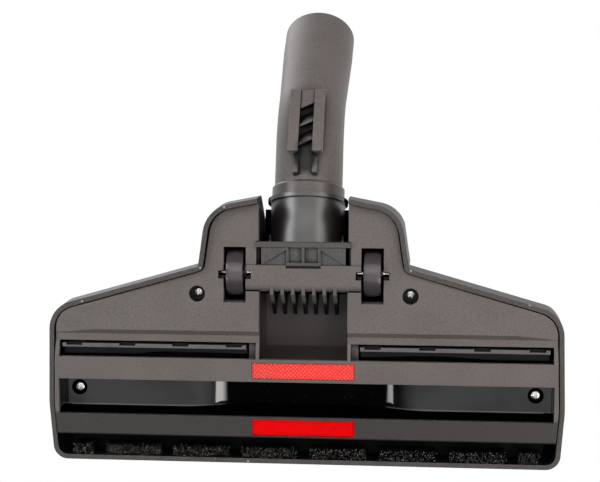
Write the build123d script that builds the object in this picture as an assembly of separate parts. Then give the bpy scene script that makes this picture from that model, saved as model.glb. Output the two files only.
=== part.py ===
from build123d import *
import os
from math import asin, cos, degrees, radians, sin

# Floor brush head of a vacuum cleaner, in millimetres.
# Sole down on z = 0, front to -Y, tube to +Y and up, origin under the middle of the rear land.

# Plan layout along Y, from the front rim to the bridge behind the throat
FRONT_RIM = 2.6
BRUSH_ZONE = 12.0
FRONT_LAND = 11.6
CHANNEL = 19.6
REAR_LAND = 12.4
LIP_SLOT = 8.8
STRIP = 3.9
STEP_RUN = 2.7
THROAT_LENGTH = 40.7
BRIDGE = 10.7

REAR_LAND_FRONT = -REAR_LAND / 2
REAR_LAND_BACK = REAR_LAND / 2
CHANNEL_FRONT = REAR_LAND_FRONT - CHANNEL
FRONT_LAND_FRONT = CHANNEL_FRONT - FRONT_LAND
BRUSH_FRONT = FRONT_LAND_FRONT - BRUSH_ZONE
FRONT_Y = BRUSH_FRONT - FRONT_RIM
SLOT_BACK = REAR_LAND_BACK + LIP_SLOT
STEP_FRONT = SLOT_BACK + STRIP
STEP_BACK = STEP_FRONT + STEP_RUN
BRIDGE_FRONT = REAR_LAND_BACK + THROAT_LENGTH
BRIDGE_BACK = BRIDGE_FRONT + BRIDGE

# Plan outline, half widths and the corners' radii
FRONT_HALF = 138.4
FRONT_CORNER_R = 8.0
WAIST_HALF = 140.8
WAIST_RUN = 31.7
WAIST_R = 60.0
SIDE_HALF = 139.4
SIDE_RUN = 85.2
SIDE_CORNER_R = 16.0
EAR_FOOT_HALF = 57.0
EAR_FOOT_R = 1.5
EAR_APEX_HALF = 52.3
EAR_APEX_RUN = 31.8
EAR_CORNER_R = 18.0
EAR_TIP_HALF = 22.5
EAR_LENGTH = 37.6
EAR_FOOT_INSET = 0.8

WAIST_Y = FRONT_Y + WAIST_RUN
SIDE_Y = FRONT_Y + SIDE_RUN
EAR_FOOT_Y = BRIDGE_BACK - EAR_FOOT_INSET
EAR_APEX_Y = EAR_FOOT_Y + EAR_APEX_RUN
EAR_TIP_Y = EAR_FOOT_Y + EAR_LENGTH

# Housing shell
HOUSING_WALL = 2.6
RIM_Z = 1.2
RIM_GAP = 0.7
FRONT_HEIGHT = 24.0
WING_TOP = 30.0
WING_RISE_RUN = 40.0
FRONT_EDGE_R = 9.0
CROWN_DROP = 5.0
SIDE_HEIGHT = 20.0
SIDE_RISE_RUN = 60.0
SHOULDER_HEIGHT = 23.0
SHOULDER_RISE_RUN = 30.0
EDGE_R = 9.0
WING_CREST_R = 60.0
HUMP_TOP = 51.0
HUMP_DROP = 5.0
HUMP_HALF = 44.0
HUMP_LEAD = 9.0
HUMP_FRONT_HEIGHT = 27.0
HUMP_FRONT_RUN = 14.0
HUMP_SIDE_HEIGHT = 37.0
HUMP_SIDE_RUN = 16.0
EAR_HEIGHT = 20.0
EAR_RISE_RUN = 26.0
HUMP_R = 12.0
HUMP_CREST_R = 12.0
HUMP_PLAN_R = 14.0

HUMP_FRONT_Y = BRIDGE_FRONT - HUMP_LEAD
SOLE_INSET = HOUSING_WALL + RIM_GAP

# Neck pivot, drum and the neck's tube
PIVOT_RUN = 7.4
PIVOT_Z = 27.0
NECK_REST_DEG = 20.0
NECK_SWING_DEG = 55.0
DRUM_R = 20.5
DRUM_HALF = 23.7
DRUM_WALL = 2.2
DRUM_CUT = 2.0
DRUM_OPEN_FROM_DEG = 146.0
DRUM_OPEN_TO_DEG = 228.0
TRUNNION_R = 6.5
TRUNNION_LENGTH = 6.8
TUBE_LIP_R = 17.95
TUBE_CAVITY_R = 18.8
TUBE_LIP_START = 14.0
FLANGE_R = 22.25
FLANGE_T = 2.2
NECK_LENGTH = 25.6

PIVOT_Y = BRIDGE_BACK + PIVOT_RUN

# Elbow, its collar, seal and parking hook
SWIVEL_REST_DEG = -1.5
SPIGOT_GAP = 0.4
SPIGOT_START = 8.0
SPIGOT_BEAD = 0.75
SPIGOT_BEAD_T = 3.4
ELBOW_BORE_R = 15.0
SEAL_START = 20.0
SEAL_T = 3.0
SEAL_SECTION = 1.5
SEAL_GAP = 0.09
COLLAR_R = 20.15
COLLAR_LENGTH = 7.2
COLLAR_EDGE = 1.2
ELBOW_R = 18.9
ELBOW_STRAIGHT = 21.8
BEND_R = 58.0
BEND_DEG = 31.0
END_LENGTH = 57.0
END_TAPER_LENGTH = 40.0
MOUTH_R = 20.2
SOCKET_R = 17.5
SOCKET_DEPTH = 38.0
HOOK_PITCH_DEG = 12.0
HOOK_LENGTH = 38.0
HOOK_AHEAD = 14.0
HOOK_HALF = 9.7
HOOK_SLOT = 7.8
HOOK_RAIL_T = 2.2
HOOK_LEG_T = 2.7
HOOK_LEG_EXTRA = 10.6
HOOK_LEG_STEP = 5.0
HOOK_PROUD = 2.4
HOOK_FLOOR = 2.4
HOOK_RIB_COUNT = 3
HOOK_RIB_FIRST = 9.7
HOOK_RIB_PITCH = 11.4
HOOK_RIB_LAND = 1.0
HOOK_RIB_RUN = 7.5
HOOK_RIB_SINK = 0.7
HOOK_RIB_SLANT_DEG = -26.6

# Sole plate
SOLE_T = 2.6
PANEL_Z = 0.4
STRIP_Z = 2.6
CREASE_Z = 4.0
EAR_END_Z = 6.0
FACET_START = 113.0
FACET_RUN = 14.0
LAND_EDGE = 0.8
LAND_WALL = 1.8
LAND_WALL_TOP = 9.5
BRIDGE_Z = 1.4
BRIDGE_RISE = 1.8
BRIDGE_TOP = 9.0
BRIDGE_ROLL = 4.0
BRIDGE_GROOVE = 3.6
NOTCH_HALF = 24.4
BEARING_CHEEK_T = 2.4
BEARING_T = 6.6
BEARING_RUN = 9.0
RUNNING_GAP = 0.05
PART_GAP = 0.4
SPLIT_GAP = 0.2
COMB_COUNT = 7
COMB_PITCH = 5.7
COMB_T = 1.9
COMB_DEPTH = 5.0
COMB_FOOT_RUN = 19.0
COMB_NOSE_RUN = 5.2
COMB_NOSE_RISE = 1.0

# Wheels, axles and their pockets
WHEEL_R = 12.75
WHEEL_EDGE_R = 12.1
WHEEL_HALF = 4.5
HUB_R = 3.0
HUB_HALF = 5.6
WHEEL_X = 37.3
POCKET_HALF = 6.05
POCKET_RUN = 15.0
POCKET_TOP = 16.0
WELL_WALL = 1.5
AXLE_R = 1.2
AXLE_HALF = 8.6
AXLE_SLOT = 4.3
AXLE_BLOCK_T = 4.0
AXLE_BLOCK_RUN = 4.6

WHEEL_Y = (BRIDGE_FRONT + BRIDGE_BACK) / 2

# Air channel and throat
CHANNEL_SIDE = 2.1
END_POCKET_RUN = 4.8
END_POCKET_RISE = 1.0
THROAT_HALF = 24.0
DUCT_WALL = 1.8
ROOF_LOW = 10.0
ROOF_HIGH = 20.0
RAMP_IN = 36.0
RAMP_OUT = 58.0
RAMP_R = 50.0
THROAT_RISE_RUN = 4.9
THROAT_MOUTH_RUN = 2.6
THROAT_MOUTH_Z = 29.0

BRIDGE_NOSE_Y = BRIDGE_FRONT - BRIDGE_ROLL
THROAT_MOUTH_Y = BRIDGE_FRONT - THROAT_MOUTH_RUN
THROAT_FLAT_END = THROAT_MOUTH_Y - THROAT_RISE_RUN

# Screws and their bosses
REAR_SCREW_X = 57.8
REAR_SCREW_Y = 41.7
FRONT_SCREW_INSET = 9.3
FRONT_SCREW_Y = -13.2
SCREW_R = 1.5
SCREW_LENGTH = 5.0
SCREW_HEAD_R = 2.4
SCREW_HEAD_T = 1.6
SCREW_CROSS = 0.8
SCREW_CROSS_DEPTH = 1.0
SINK_R = 4.2
SINK_WALL = 1.4
SINK_FLOOR = 1.4
REAR_SINK_TOP = 10.5
FRONT_SINK_TOP = 13.6
BOSS_R = 3.6

# Lint pickers
PAD_HALF = 28.0
PAD_WIDTH = 9.0
PAD_T = 1.6

# Clip that closes the pivot from below
CLIP_BAR_HALF = 25.6
CLIP_BAR_RUN = 2.7
CLIP_BAR_Z = 3.0
CLIP_BASE_HALF = 22.8
CLIP_BASE_Z = 4.6
CLIP_LENGTH = 12.6
CLIP_TONGUE_HALF = 9.4
CLIP_TONGUE_Z = 2.6
CLIP_TONGUE_T = 1.6
CLIP_RIB_T = 1.5
CLIP_RIB_Z = 3.6
CLIP_T = 5.2
CLIP_SLOT_RUN = 1.6
CLIP_SLOT_DEPTH = 2.4

CLIP_TOP = CREASE_Z + CLIP_T

# Brush carriage, bristles and rubber lips
TRAVEL = 5.0
TIP_Z = 0.6
BAR_Z = 12.0
ARM_GAP = 0.7
BAR_GAP = 1.2
BRUSH_BAR_END = 8.0
LIP_BAR_START = 27.5
LIP_BAR_GAP = 3.4
ARM_X = 95.0
ARM_HALF = 5.0
ARM_T = 3.0
GUIDE_R = 3.0
GUIDE_Y = -16.0
GUIDE_END_Z = 14.0
TUFT_COUNT = 6
TUFT_LENGTH = 31.1
TUFT_GAP = 6.6
TUFT_MARGIN = 2.4
TUFT_WIDTH = 6.0
TUFT_LEAD = 0.3
LIP_START = 31.0
LIP_START_GAP = 1.2
SLOT_STEP_Z = 5.0
SLOT_STEP_T = 1.2
LIP_END_GAP = 2.0
LIP_T = 2.2
LIP_NOTCH_COUNT = 4
LIP_NOTCH = 8.8
LIP_NOTCH_INSET = 6.6
LIP_NOTCH_DEPTH = 1.2
LIP_NOTCH_RISE = 3.0
LIP_WING_GAP = 0.9
LIP_WING_Z = 5.6
LIP_WING_T = 1.2

BAR_TOP = ROOF_LOW + DUCT_WALL + TRAVEL + ARM_GAP

# Foot pedal, its pin and detent spring
PEDAL_ARM = 16.0
PEDAL_DROP = 4.5
HINGE_Z = 25.0
PEDAL_HALF = 36.0
PEDAL_FRONT = 20.5
PEDAL_BACK = 9.0
PEDAL_Z = 4.0
PEDAL_T = 3.4
PEDAL_EDGE_R = 2.0
PEDAL_CORNER_R = 4.0
PEDAL_RIB_COUNT = 4
PEDAL_RIB_PITCH = 5.0
PEDAL_RIB_T = 1.4
PEDAL_RIB_RISE = 0.8
PEDAL_CHEEK_X = 29.5
PEDAL_CHEEK_T = 3.5
PEDAL_CHEEK_R = 3.6
PIN_R = 2.0
STUB_R = 1.8
STUB_LENGTH = 4.6
LUG_GAP = 0.8
LUG_T = 3.0
LUG_RUN = 4.4
LUG_RISE = 3.4
PEDAL_GAP = 1.2
HINGE_LUG_T = 4.0
HINGE_LUG_RUN = 4.5
NOSE_HALF = 3.0
NOSE_FROM = 6.0
NOSE_TO = 2.5
NOSE_Z = 0.6
LEAF_HALF = 4.0
LEAF_T = 0.6
LEAF_FOOT = 6.0
LEAF_RUN = 5.0
LEAF_RISE = 2.2

PEDAL_SWING_DEG = 2 * degrees(asin(TRAVEL / (2 * PEDAL_ARM)))
BEND_Y = NECK_LENGTH + PART_GAP + COLLAR_LENGTH + ELBOW_STRAIGHT
BRUSH_Y = (BRUSH_FRONT + FRONT_LAND_FRONT) / 2
LIP_Y = (REAR_LAND_BACK + SLOT_BACK) / 2
HINGE_Y = LIP_Y + PEDAL_ARM
BIG = 400.0


def box(x0, x1, y0, y1, z0, z1):
    """A block between two corners."""
    return Pos((x0 + x1) / 2, (y0 + y1) / 2, (z0 + z1) / 2) * Box(x1 - x0, y1 - y0, z1 - z0)


def rod_x(radius, x0, x1, y, z):
    """A round rod along X."""
    return Pos((x0 + x1) / 2, y, z) * Rot(0, 90, 0) * Cylinder(radius, x1 - x0)


def rod_y(radius, y0, y1):
    """A round rod along Y, on the axis."""
    return Pos(0, (y0 + y1) / 2, 0) * Rot(90, 0, 0) * Cylinder(radius, y1 - y0)


def rod_z(radius, x, y, z0, z1):
    """A round rod along Z."""
    return Pos(x, y, (z0 + z1) / 2) * Cylinder(radius, z1 - z0)


def both_sides(solid):
    """A solid and its mirror image across the centre line."""
    return solid + mirror(solid, about=Plane.YZ)


def slab_x(points, x0, x1, radii=0):
    """A solid along X from an outline of (y, z) points, with rounded corners."""
    outline = make_face(FilletPolyline(*points, radius=radii, close=True))
    return Pos(x0, 0, 0) * extrude(Plane.YZ * outline, x1 - x0)


def slab_y(points, y0, y1, radii=0):
    """A solid along Y from an outline of (x, z) points, with rounded corners."""
    outline = make_face(FilletPolyline(*points, radius=radii, close=True))
    return Pos(0, y1, 0) * extrude(Plane.XZ * outline, y1 - y0)


def symmetric(points):
    """An outline's right-hand points, followed by their mirror images in reverse."""
    return points + [(-x, y) for x, y in reversed(points)]


def plan_solid(points, radii, inset, z0, z1):
    """A plan outline, moved inwards by inset, as a solid between two heights."""
    face = make_face(FilletPolyline(*symmetric(points), radius=radii + radii[::-1], close=True))
    if inset:
        face = offset(face, -inset, kind=Kind.INTERSECTION)
    return Pos(0, 0, z0) * extrude(face, z1 - z0)


WING_PLAN = [
    (FRONT_HALF, FRONT_Y),
    (WAIST_HALF, WAIST_Y),
    (SIDE_HALF, SIDE_Y),
    (EAR_FOOT_HALF, EAR_FOOT_Y),
]
WING_RADII = [FRONT_CORNER_R, WAIST_R, SIDE_CORNER_R, 0]
EAR_PLAN = [(EAR_APEX_HALF, EAR_APEX_Y), (EAR_TIP_HALF, EAR_TIP_Y)]
EAR_RADII = [EAR_CORNER_R, 0]
HUMP_PLAN = [(HUMP_HALF, HUMP_FRONT_Y), (EAR_FOOT_HALF, EAR_FOOT_Y)] + EAR_PLAN
HUMP_RADII = [HUMP_PLAN_R, 0] + EAR_RADII
SOLE_PLAN = WING_PLAN + EAR_PLAN
SOLE_RADII = WING_RADII[:-1] + [EAR_FOOT_R] + EAR_RADII


def outline_half(y):
    """The half width of the wide body's rounded outline at a place along Y."""
    strip = box(-BIG, BIG, y, y + PART_GAP, 0, PART_GAP)
    return (plan_solid(WING_PLAN, WING_RADII, 0, 0, PART_GAP) & strip).bounding_box().max.X


# Widths that follow the outline
WIDEST = max(FRONT_HALF, WAIST_HALF, SIDE_HALF)
SOLE_SIDE = SOLE_INSET + CHANNEL_SIDE
CHANNEL_HALF = min(outline_half(y) for y in (CHANNEL_FRONT, WAIST_Y, REAR_LAND_FRONT)) - SOLE_SIDE
LAND_HALF = outline_half(FRONT_LAND_FRONT) - SOLE_SIDE
SLOT_HALF = min(outline_half(y) for y in (REAR_LAND_BACK, SLOT_BACK)) - SOLE_SIDE
FRONT_SCREW_X = CHANNEL_HALF - FRONT_SCREW_INSET
BRUSH_BAR_HALF = min(FRONT_HALF, WAIST_HALF) - BRUSH_BAR_END
LIP_BAR_END = SLOT_HALF - LIP_BAR_GAP
LIP_END = SLOT_HALF - LIP_END_GAP
LIP_SLOT_START = LIP_START - LIP_START_GAP


def rounded_edge(start, end, inset, z0, height, top, rise_run, radius, crest):
    """The space inside one plan edge, under a rounded edge that rises to the top."""
    along = (Vector(*end) - Vector(*start)).normalized()
    inwards = Vector(-along.Y, along.X)
    profile = FilletPolyline(
        (inset, z0),
        (inset, height - inset),
        (inset + rise_run, top - inset),
        (BIG, top - inset),
        (BIG, z0),
        radius=[0, radius, crest, 0, 0],
        close=True,
    )
    plane = Plane(origin=(start[0], start[1], 0), x_dir=inwards, z_dir=along)
    return extrude(plane * make_face(profile), BIG, both=True)


def crowned(points, radii, edges, inset, z0, top, drop, half, crest):
    """A plan outline under an arched top, with a rounded edge along each listed plan edge."""
    body = plan_solid(points, radii, inset, z0, top)
    peak = top - inset
    arch = ThreePointArc((-half, peak - drop), (0, peak), (half, peak - drop))
    base = Polyline((half, peak - drop), (half, z0), (-half, z0), (-half, peak - drop))
    body &= Pos(0, BIG / 2, 0) * extrude(Plane.XZ * make_face(arch + base), BIG)
    for start, end, height, rise_run, radius in edges:
        edge = rounded_edge(start, end, inset, z0, height, top, rise_run, radius, crest)
        body &= edge
        if start[0] != -end[0]:
            body &= mirror(edge, about=Plane.YZ)
    return body


def wing_body(inset, z0):
    """The wide low body, inset from the outside, from z0 up to its crowned top."""
    front = (-FRONT_HALF, FRONT_Y)
    edges = [
        (front, WING_PLAN[0], FRONT_HEIGHT, WING_RISE_RUN, FRONT_EDGE_R),
        (WING_PLAN[0], WING_PLAN[1], SIDE_HEIGHT, SIDE_RISE_RUN, EDGE_R),
        (WING_PLAN[1], WING_PLAN[2], SIDE_HEIGHT, SIDE_RISE_RUN, EDGE_R),
        (WING_PLAN[2], WING_PLAN[3], SHOULDER_HEIGHT, SHOULDER_RISE_RUN, EDGE_R),
    ]
    return crowned(
        WING_PLAN, WING_RADII, edges, inset, z0, WING_TOP, CROWN_DROP, WIDEST, WING_CREST_R
    )


def hump_body(inset, z0):
    """The raised middle over the pivot, with the two ears behind it, inset from the outside."""
    front = (-HUMP_HALF, HUMP_FRONT_Y)
    edges = [
        (front, HUMP_PLAN[0], HUMP_FRONT_HEIGHT, HUMP_FRONT_RUN, HUMP_R),
        (HUMP_PLAN[0], HUMP_PLAN[1], HUMP_SIDE_HEIGHT, HUMP_SIDE_RUN, HUMP_R),
        (HUMP_PLAN[1], HUMP_PLAN[2], HUMP_SIDE_HEIGHT, HUMP_SIDE_RUN, HUMP_R),
        (HUMP_PLAN[2], HUMP_PLAN[3], EAR_HEIGHT, EAR_RISE_RUN, HUMP_R),
    ]
    return crowned(
        HUMP_PLAN, HUMP_RADII, edges, inset, z0, HUMP_TOP, HUMP_DROP, EAR_FOOT_HALF, HUMP_CREST_R
    )


def housing_mass(inset, z0):
    """The housing's whole form, inset from the outside, down to z0."""
    return wing_body(inset, z0) + hump_body(inset, z0)


def housing_room(inset):
    """The hollow inside the housing, with the ears open to the wings."""
    under_ears = plan_solid(SOLE_PLAN, SOLE_RADII, inset, -RIM_Z, SHOULDER_HEIGHT - inset - EDGE_R)
    return housing_mass(inset, -RIM_Z) + under_ears


HOUSING = housing_mass(0, RIM_Z)
CAVITY = housing_room(HOUSING_WALL)
FIT_CAVITY = housing_room(HOUSING_WALL + PART_GAP)
PIVOT = Pos(0, PIVOT_Y, PIVOT_Z)
NECK_FRAME = PIVOT * Rot(NECK_REST_DEG, 0, 0)
ELBOW_FRAME = NECK_FRAME * Rot(0, SWIVEL_REST_DEG, 0)
DRUM_ROOM = rod_x(DRUM_R + PART_GAP, -NOTCH_HALF, NOTCH_HALF, PIVOT_Y, PIVOT_Z)
BEARING_END = NOTCH_HALF + BEARING_T
TRUNNION_ROOM = rod_x(TRUNNION_R + RUNNING_GAP, -BEARING_END, BEARING_END, PIVOT_Y, PIVOT_Z)
HINGE_END = PEDAL_HALF + PEDAL_GAP + HINGE_LUG_T


def neck_room():
    """The gap between the ears in which the neck swings, from its rest to its upper limit."""
    side = DRUM_R + PART_GAP
    swung = PIVOT * Rot(NECK_REST_DEG + NECK_SWING_DEG, 0, 0)
    lowest = box(-NOTCH_HALF, NOTCH_HALF, PIVOT_Y, BIG, -BIG, PIVOT_Z + side)
    upright = box(-NOTCH_HALF, NOTCH_HALF, 0, BIG, -BIG, side)
    return lowest + swung * upright


def bearing_blocks(z0, z1):
    """The two blocks that hold the neck's trunnions, between two heights."""
    x0 = NOTCH_HALF
    block = box(x0, x0 + BEARING_T, PIVOT_Y - BEARING_RUN, PIVOT_Y + BEARING_RUN, z0, z1)
    cheek = box(x0, x0 + BEARING_CHEEK_T, BRIDGE_BACK, EAR_TIP_Y, z0, z1)
    return both_sides(block + cheek) - TRUNNION_ROOM


def pedal_window():
    """The opening in the housing's top in which the pedal rocks."""
    half = PEDAL_HALF + PEDAL_GAP
    return box(
        -half, half, HINGE_Y - PEDAL_FRONT - PEDAL_GAP, HINGE_Y + PEDAL_BACK + PEDAL_GAP, HINGE_Z, BIG
    )


def screw_places():
    """Each screw's place in plan, with the top of the sink that its head sits in."""
    rear = [(side * REAR_SCREW_X, REAR_SCREW_Y, REAR_SINK_TOP) for side in (1, -1)]
    front = [(side * FRONT_SCREW_X, FRONT_SCREW_Y, FRONT_SINK_TOP) for side in (1, -1)]
    return rear + front


def make_housing():
    """The upper shell, with screw bosses, carriage guides, hinge lugs and bearing caps."""
    shell = HOUSING - CAVITY
    inside = bearing_blocks(PIVOT_Z, HUMP_TOP)
    for x, y, top in screw_places():
        boss = rod_z(BOSS_R, x, y, top, HUMP_TOP)
        inside += boss - rod_z(SCREW_R + RUNNING_GAP, x, y, top, top + SCREW_LENGTH)
    inside += both_sides(rod_z(GUIDE_R, ARM_X, GUIDE_Y, GUIDE_END_Z, HUMP_TOP))
    x0 = PEDAL_HALF + PEDAL_GAP
    lug = box(
        x0, HINGE_END, HINGE_Y - HINGE_LUG_RUN, HINGE_Y + HINGE_LUG_RUN,
        HINGE_Z - HINGE_LUG_RUN, HUMP_TOP,
    )
    inside += both_sides(lug)
    shell += inside & HOUSING
    shell -= neck_room() + DRUM_ROOM + pedal_window()
    return shell - rod_x(PIN_R + RUNNING_GAP, -HINGE_END, HINGE_END, HINGE_Y, HINGE_Z) - TRUNNION_ROOM


def sole_slab(inset):
    """The sole's stepped plate inside the rim, without its openings."""
    bottom = [
        (FRONT_LAND_FRONT, LAND_EDGE),
        (FRONT_LAND_FRONT + LAND_EDGE, 0),
        (REAR_LAND_BACK, 0),
        (SLOT_BACK, STRIP_Z),
        (STEP_FRONT, STRIP_Z),
        (STEP_BACK, PANEL_Z),
        (BRIDGE_BACK, CREASE_Z),
        (EAR_TIP_Y, EAR_END_Z),
    ]
    top = [
        (EAR_TIP_Y, EAR_END_Z + SOLE_T),
        (BRIDGE_BACK, CREASE_Z + SOLE_T),
        (SLOT_BACK, STRIP_Z + SOLE_T),
        (REAR_LAND_BACK, SOLE_T),
        (FRONT_LAND_FRONT, SOLE_T),
    ]
    plate = slab_x(bottom + top, -WIDEST, WIDEST)
    return plate & plan_solid(SOLE_PLAN, SOLE_RADII, inset, -RIM_Z, HUMP_TOP)


def step_facet():
    """The space under the step's outer end, where the panel runs out into the strip."""
    rise = (CREASE_Z - PANEL_Z) / (BRIDGE_BACK - STEP_BACK)
    corner = Vector(FACET_START, STEP_BACK, PANEL_Z)
    along = Vector(WIDEST, STEP_BACK, STRIP_Z) - corner
    back = Vector(WIDEST, STEP_BACK + FACET_RUN, PANEL_Z + rise * FACET_RUN) - corner
    below = extrude(Plane(origin=corner, x_dir=along, z_dir=along.cross(back)) * Rectangle(BIG, BIG), -BIG)
    return below & box(FACET_START, BIG, STEP_FRONT, BIG, -BIG, BIG)


def bridge_face(y):
    """The height of the bridge's flat face at a place along Y."""
    return BRIDGE_Z + BRIDGE_RISE * (y - BRIDGE_NOSE_Y) / (BRIDGE_BACK - BRIDGE_NOSE_Y)


def bridge_block():
    """The bar between the wheel pockets, with a rolled front edge."""
    return slab_x(
        [
            (BRIDGE_NOSE_Y, BRIDGE_Z),
            (BRIDGE_BACK, BRIDGE_Z + BRIDGE_RISE),
            (BRIDGE_BACK, BRIDGE_TOP),
            (BRIDGE_NOSE_Y, BRIDGE_TOP),
        ],
        POCKET_HALF - WHEEL_X, WHEEL_X - POCKET_HALF,
        [BRIDGE_ROLL, 0, 0, 0],
    )


def comb_fins():
    """The fins over the bridge's rolled edge and up to the throat's roof."""
    foot = BRIDGE_FRONT - COMB_FOOT_RUN
    face = bridge_face(BRIDGE_FRONT)
    roof = ROOF_HIGH - SPLIT_GAP
    outline = [
        (BRIDGE_FRONT, face),
        (BRIDGE_FRONT, face + COMB_DEPTH),
        (foot + COMB_DEPTH, roof),
        (foot, roof),
        (BRIDGE_FRONT - COMB_NOSE_RUN, face + COMB_NOSE_RISE),
    ]
    fin = slab_x(outline, -COMB_T / 2, COMB_T / 2)
    first = -(COMB_COUNT - 1) / 2
    return [Pos((first + index) * COMB_PITCH, 0, 0) * fin for index in range(COMB_COUNT)]


def wheel_mounts():
    """The blocks beside one wheel pocket that carry the axle, and the wall in front of it."""
    inner = WHEEL_X - POCKET_HALF
    outer = WHEEL_X + POCKET_HALF
    y0 = WHEEL_Y - AXLE_BLOCK_RUN
    y1 = WHEEL_Y + AXLE_BLOCK_RUN
    blocks = box(inner - AXLE_BLOCK_T, inner, y0, y1, CREASE_Z, POCKET_TOP)
    blocks += box(outer, outer + AXLE_BLOCK_T, y0, y1, CREASE_Z, POCKET_TOP)
    front = WHEEL_Y - POCKET_RUN
    return blocks + box(inner - WELL_WALL, outer + WELL_WALL, front - WELL_WALL, front, CREASE_Z, HUMP_TOP)


def axle_slot():
    """The slot from below that one axle is pushed into, wide in the plate and snug above."""
    x0 = WHEEL_X - AXLE_HALF - PART_GAP
    x1 = WHEEL_X + AXLE_HALF + PART_GAP
    snug = AXLE_R + RUNNING_GAP
    mouth = box(x0, x1, WHEEL_Y - AXLE_SLOT / 2, WHEEL_Y + AXLE_SLOT / 2, -RIM_Z, CREASE_Z + SOLE_T)
    slot = box(x0, x1, WHEEL_Y - snug, WHEEL_Y + snug, -RIM_Z, WHEEL_R)
    return mouth + slot + rod_x(snug, x0, x1, WHEEL_Y, WHEEL_R)


def make_sole():
    """The sole plate: lands, stepped panel, bridge with its comb, wheel pockets and bearings."""
    plate = sole_slab(SOLE_INSET)
    front_wall = box(
        -LAND_HALF, LAND_HALF, FRONT_LAND_FRONT, FRONT_LAND_FRONT + LAND_WALL,
        LAND_EDGE, LAND_WALL_TOP,
    )
    plate += front_wall
    plate -= box(-CHANNEL_HALF, CHANNEL_HALF, CHANNEL_FRONT, REAR_LAND_FRONT, -RIM_Z, HUMP_TOP)
    plate -= box(-THROAT_HALF, THROAT_HALF, REAR_LAND_BACK, BRIDGE_BACK, -RIM_Z, HUMP_TOP)
    inner = WHEEL_X - POCKET_HALF
    plate -= box(-inner, inner, BRIDGE_FRONT - BRIDGE_GROOVE, BRIDGE_BACK, -RIM_Z, BRIDGE_TOP)
    plate += bridge_block()
    for fin in comb_fins():
        plate += fin
    cup_r = SINK_R + SINK_WALL
    rear_cup = rod_z(cup_r, REAR_SCREW_X, REAR_SCREW_Y, CREASE_Z, REAR_SINK_TOP)
    plate += both_sides(rear_cup)
    plate += both_sides(wheel_mounts()) & FIT_CAVITY
    plate += bearing_blocks(CREASE_Z + SOLE_T, PIVOT_Z - SPLIT_GAP) & FIT_CAVITY
    step_x = THROAT_HALF + DUCT_WALL
    plate += both_sides(box(
        step_x, LIP_SLOT_START, REAR_LAND_BACK - SLOT_STEP_T, SLOT_BACK + SLOT_STEP_T,
        SOLE_T, SLOT_STEP_Z + SLOT_STEP_T,
    ))
    slot = box(LIP_SLOT_START, SLOT_HALF, REAR_LAND_BACK, SLOT_BACK, -RIM_Z, HUMP_TOP)
    slot += box(step_x, LIP_SLOT_START, REAR_LAND_BACK, SLOT_BACK, -RIM_Z, SLOT_STEP_Z)
    pocket = box(
        WHEEL_X - POCKET_HALF, WHEEL_X + POCKET_HALF, WHEEL_Y - POCKET_RUN, WHEEL_Y + POCKET_RUN,
        -RIM_Z, HUMP_TOP,
    )
    sink = rod_z(SINK_R, REAR_SCREW_X, REAR_SCREW_Y, -RIM_Z, REAR_SINK_TOP - SINK_FLOOR)
    hole = rod_z(SCREW_R + RUNNING_GAP, REAR_SCREW_X, REAR_SCREW_Y, -RIM_Z, HUMP_TOP)
    plate -= both_sides(slot + pocket + axle_slot() + sink + hole + step_facet())
    plate -= box(-NOTCH_HALF, NOTCH_HALF, PIVOT_Y, BIG, -BIG, BIG)
    clip_half = CLIP_BAR_HALF + RUNNING_GAP
    clip_end = BRIDGE_BACK + CLIP_LENGTH + PART_GAP
    plate -= box(-clip_half, clip_half, BRIDGE_BACK, clip_end, -RIM_Z, CLIP_TOP)
    slot_z = BRIDGE_Z + BRIDGE_RISE + CLIP_SLOT_DEPTH
    plate -= box(
        -CLIP_TONGUE_HALF, CLIP_TONGUE_HALF, BRIDGE_BACK - CLIP_SLOT_RUN, BRIDGE_BACK, -RIM_Z, slot_z
    )
    plate -= DRUM_ROOM
    for y in pad_places():
        plate -= box(-PAD_HALF, PAD_HALF, y - PAD_WIDTH / 2, y + PAD_WIDTH / 2, -RIM_Z, PAD_T)
    return plate


def pad_places():
    """The middle of each land, where a lint picker is glued in."""
    return [CHANNEL_FRONT - FRONT_LAND / 2, 0.0]


def make_lint_picker(y):
    """One pile strip for picking up lint, flush in its land."""
    return box(-PAD_HALF, PAD_HALF, y - PAD_WIDTH / 2, y + PAD_WIDTH / 2, 0, PAD_T)


def duct_form(wall):
    """The space of the channel and throat, grown outwards by a wall."""
    side = CHANNEL_HALF + wall
    channel = slab_y(
        symmetric([
            (side, -RIM_Z),
            (side, ROOF_LOW + wall),
            (RAMP_OUT + wall, ROOF_LOW + wall),
            (RAMP_IN + wall, ROOF_HIGH + wall),
        ]),
        CHANNEL_FRONT - wall, REAR_LAND_FRONT + wall,
        [0, 0, RAMP_R, RAMP_R, RAMP_R, RAMP_R, 0, 0],
    )
    throat = slab_x(
        [
            (REAR_LAND_FRONT, -RIM_Z),
            (REAR_LAND_FRONT, ROOF_HIGH + wall),
            (THROAT_FLAT_END, ROOF_HIGH + wall),
            (THROAT_MOUTH_Y, THROAT_MOUTH_Z + wall),
            (THROAT_MOUTH_Y, BRIDGE_TOP),
            (BRIDGE_NOSE_Y, BRIDGE_TOP),
            (BRIDGE_NOSE_Y, -RIM_Z),
        ],
        -THROAT_HALF - wall, THROAT_HALF + wall,
    )
    return channel + throat


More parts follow.
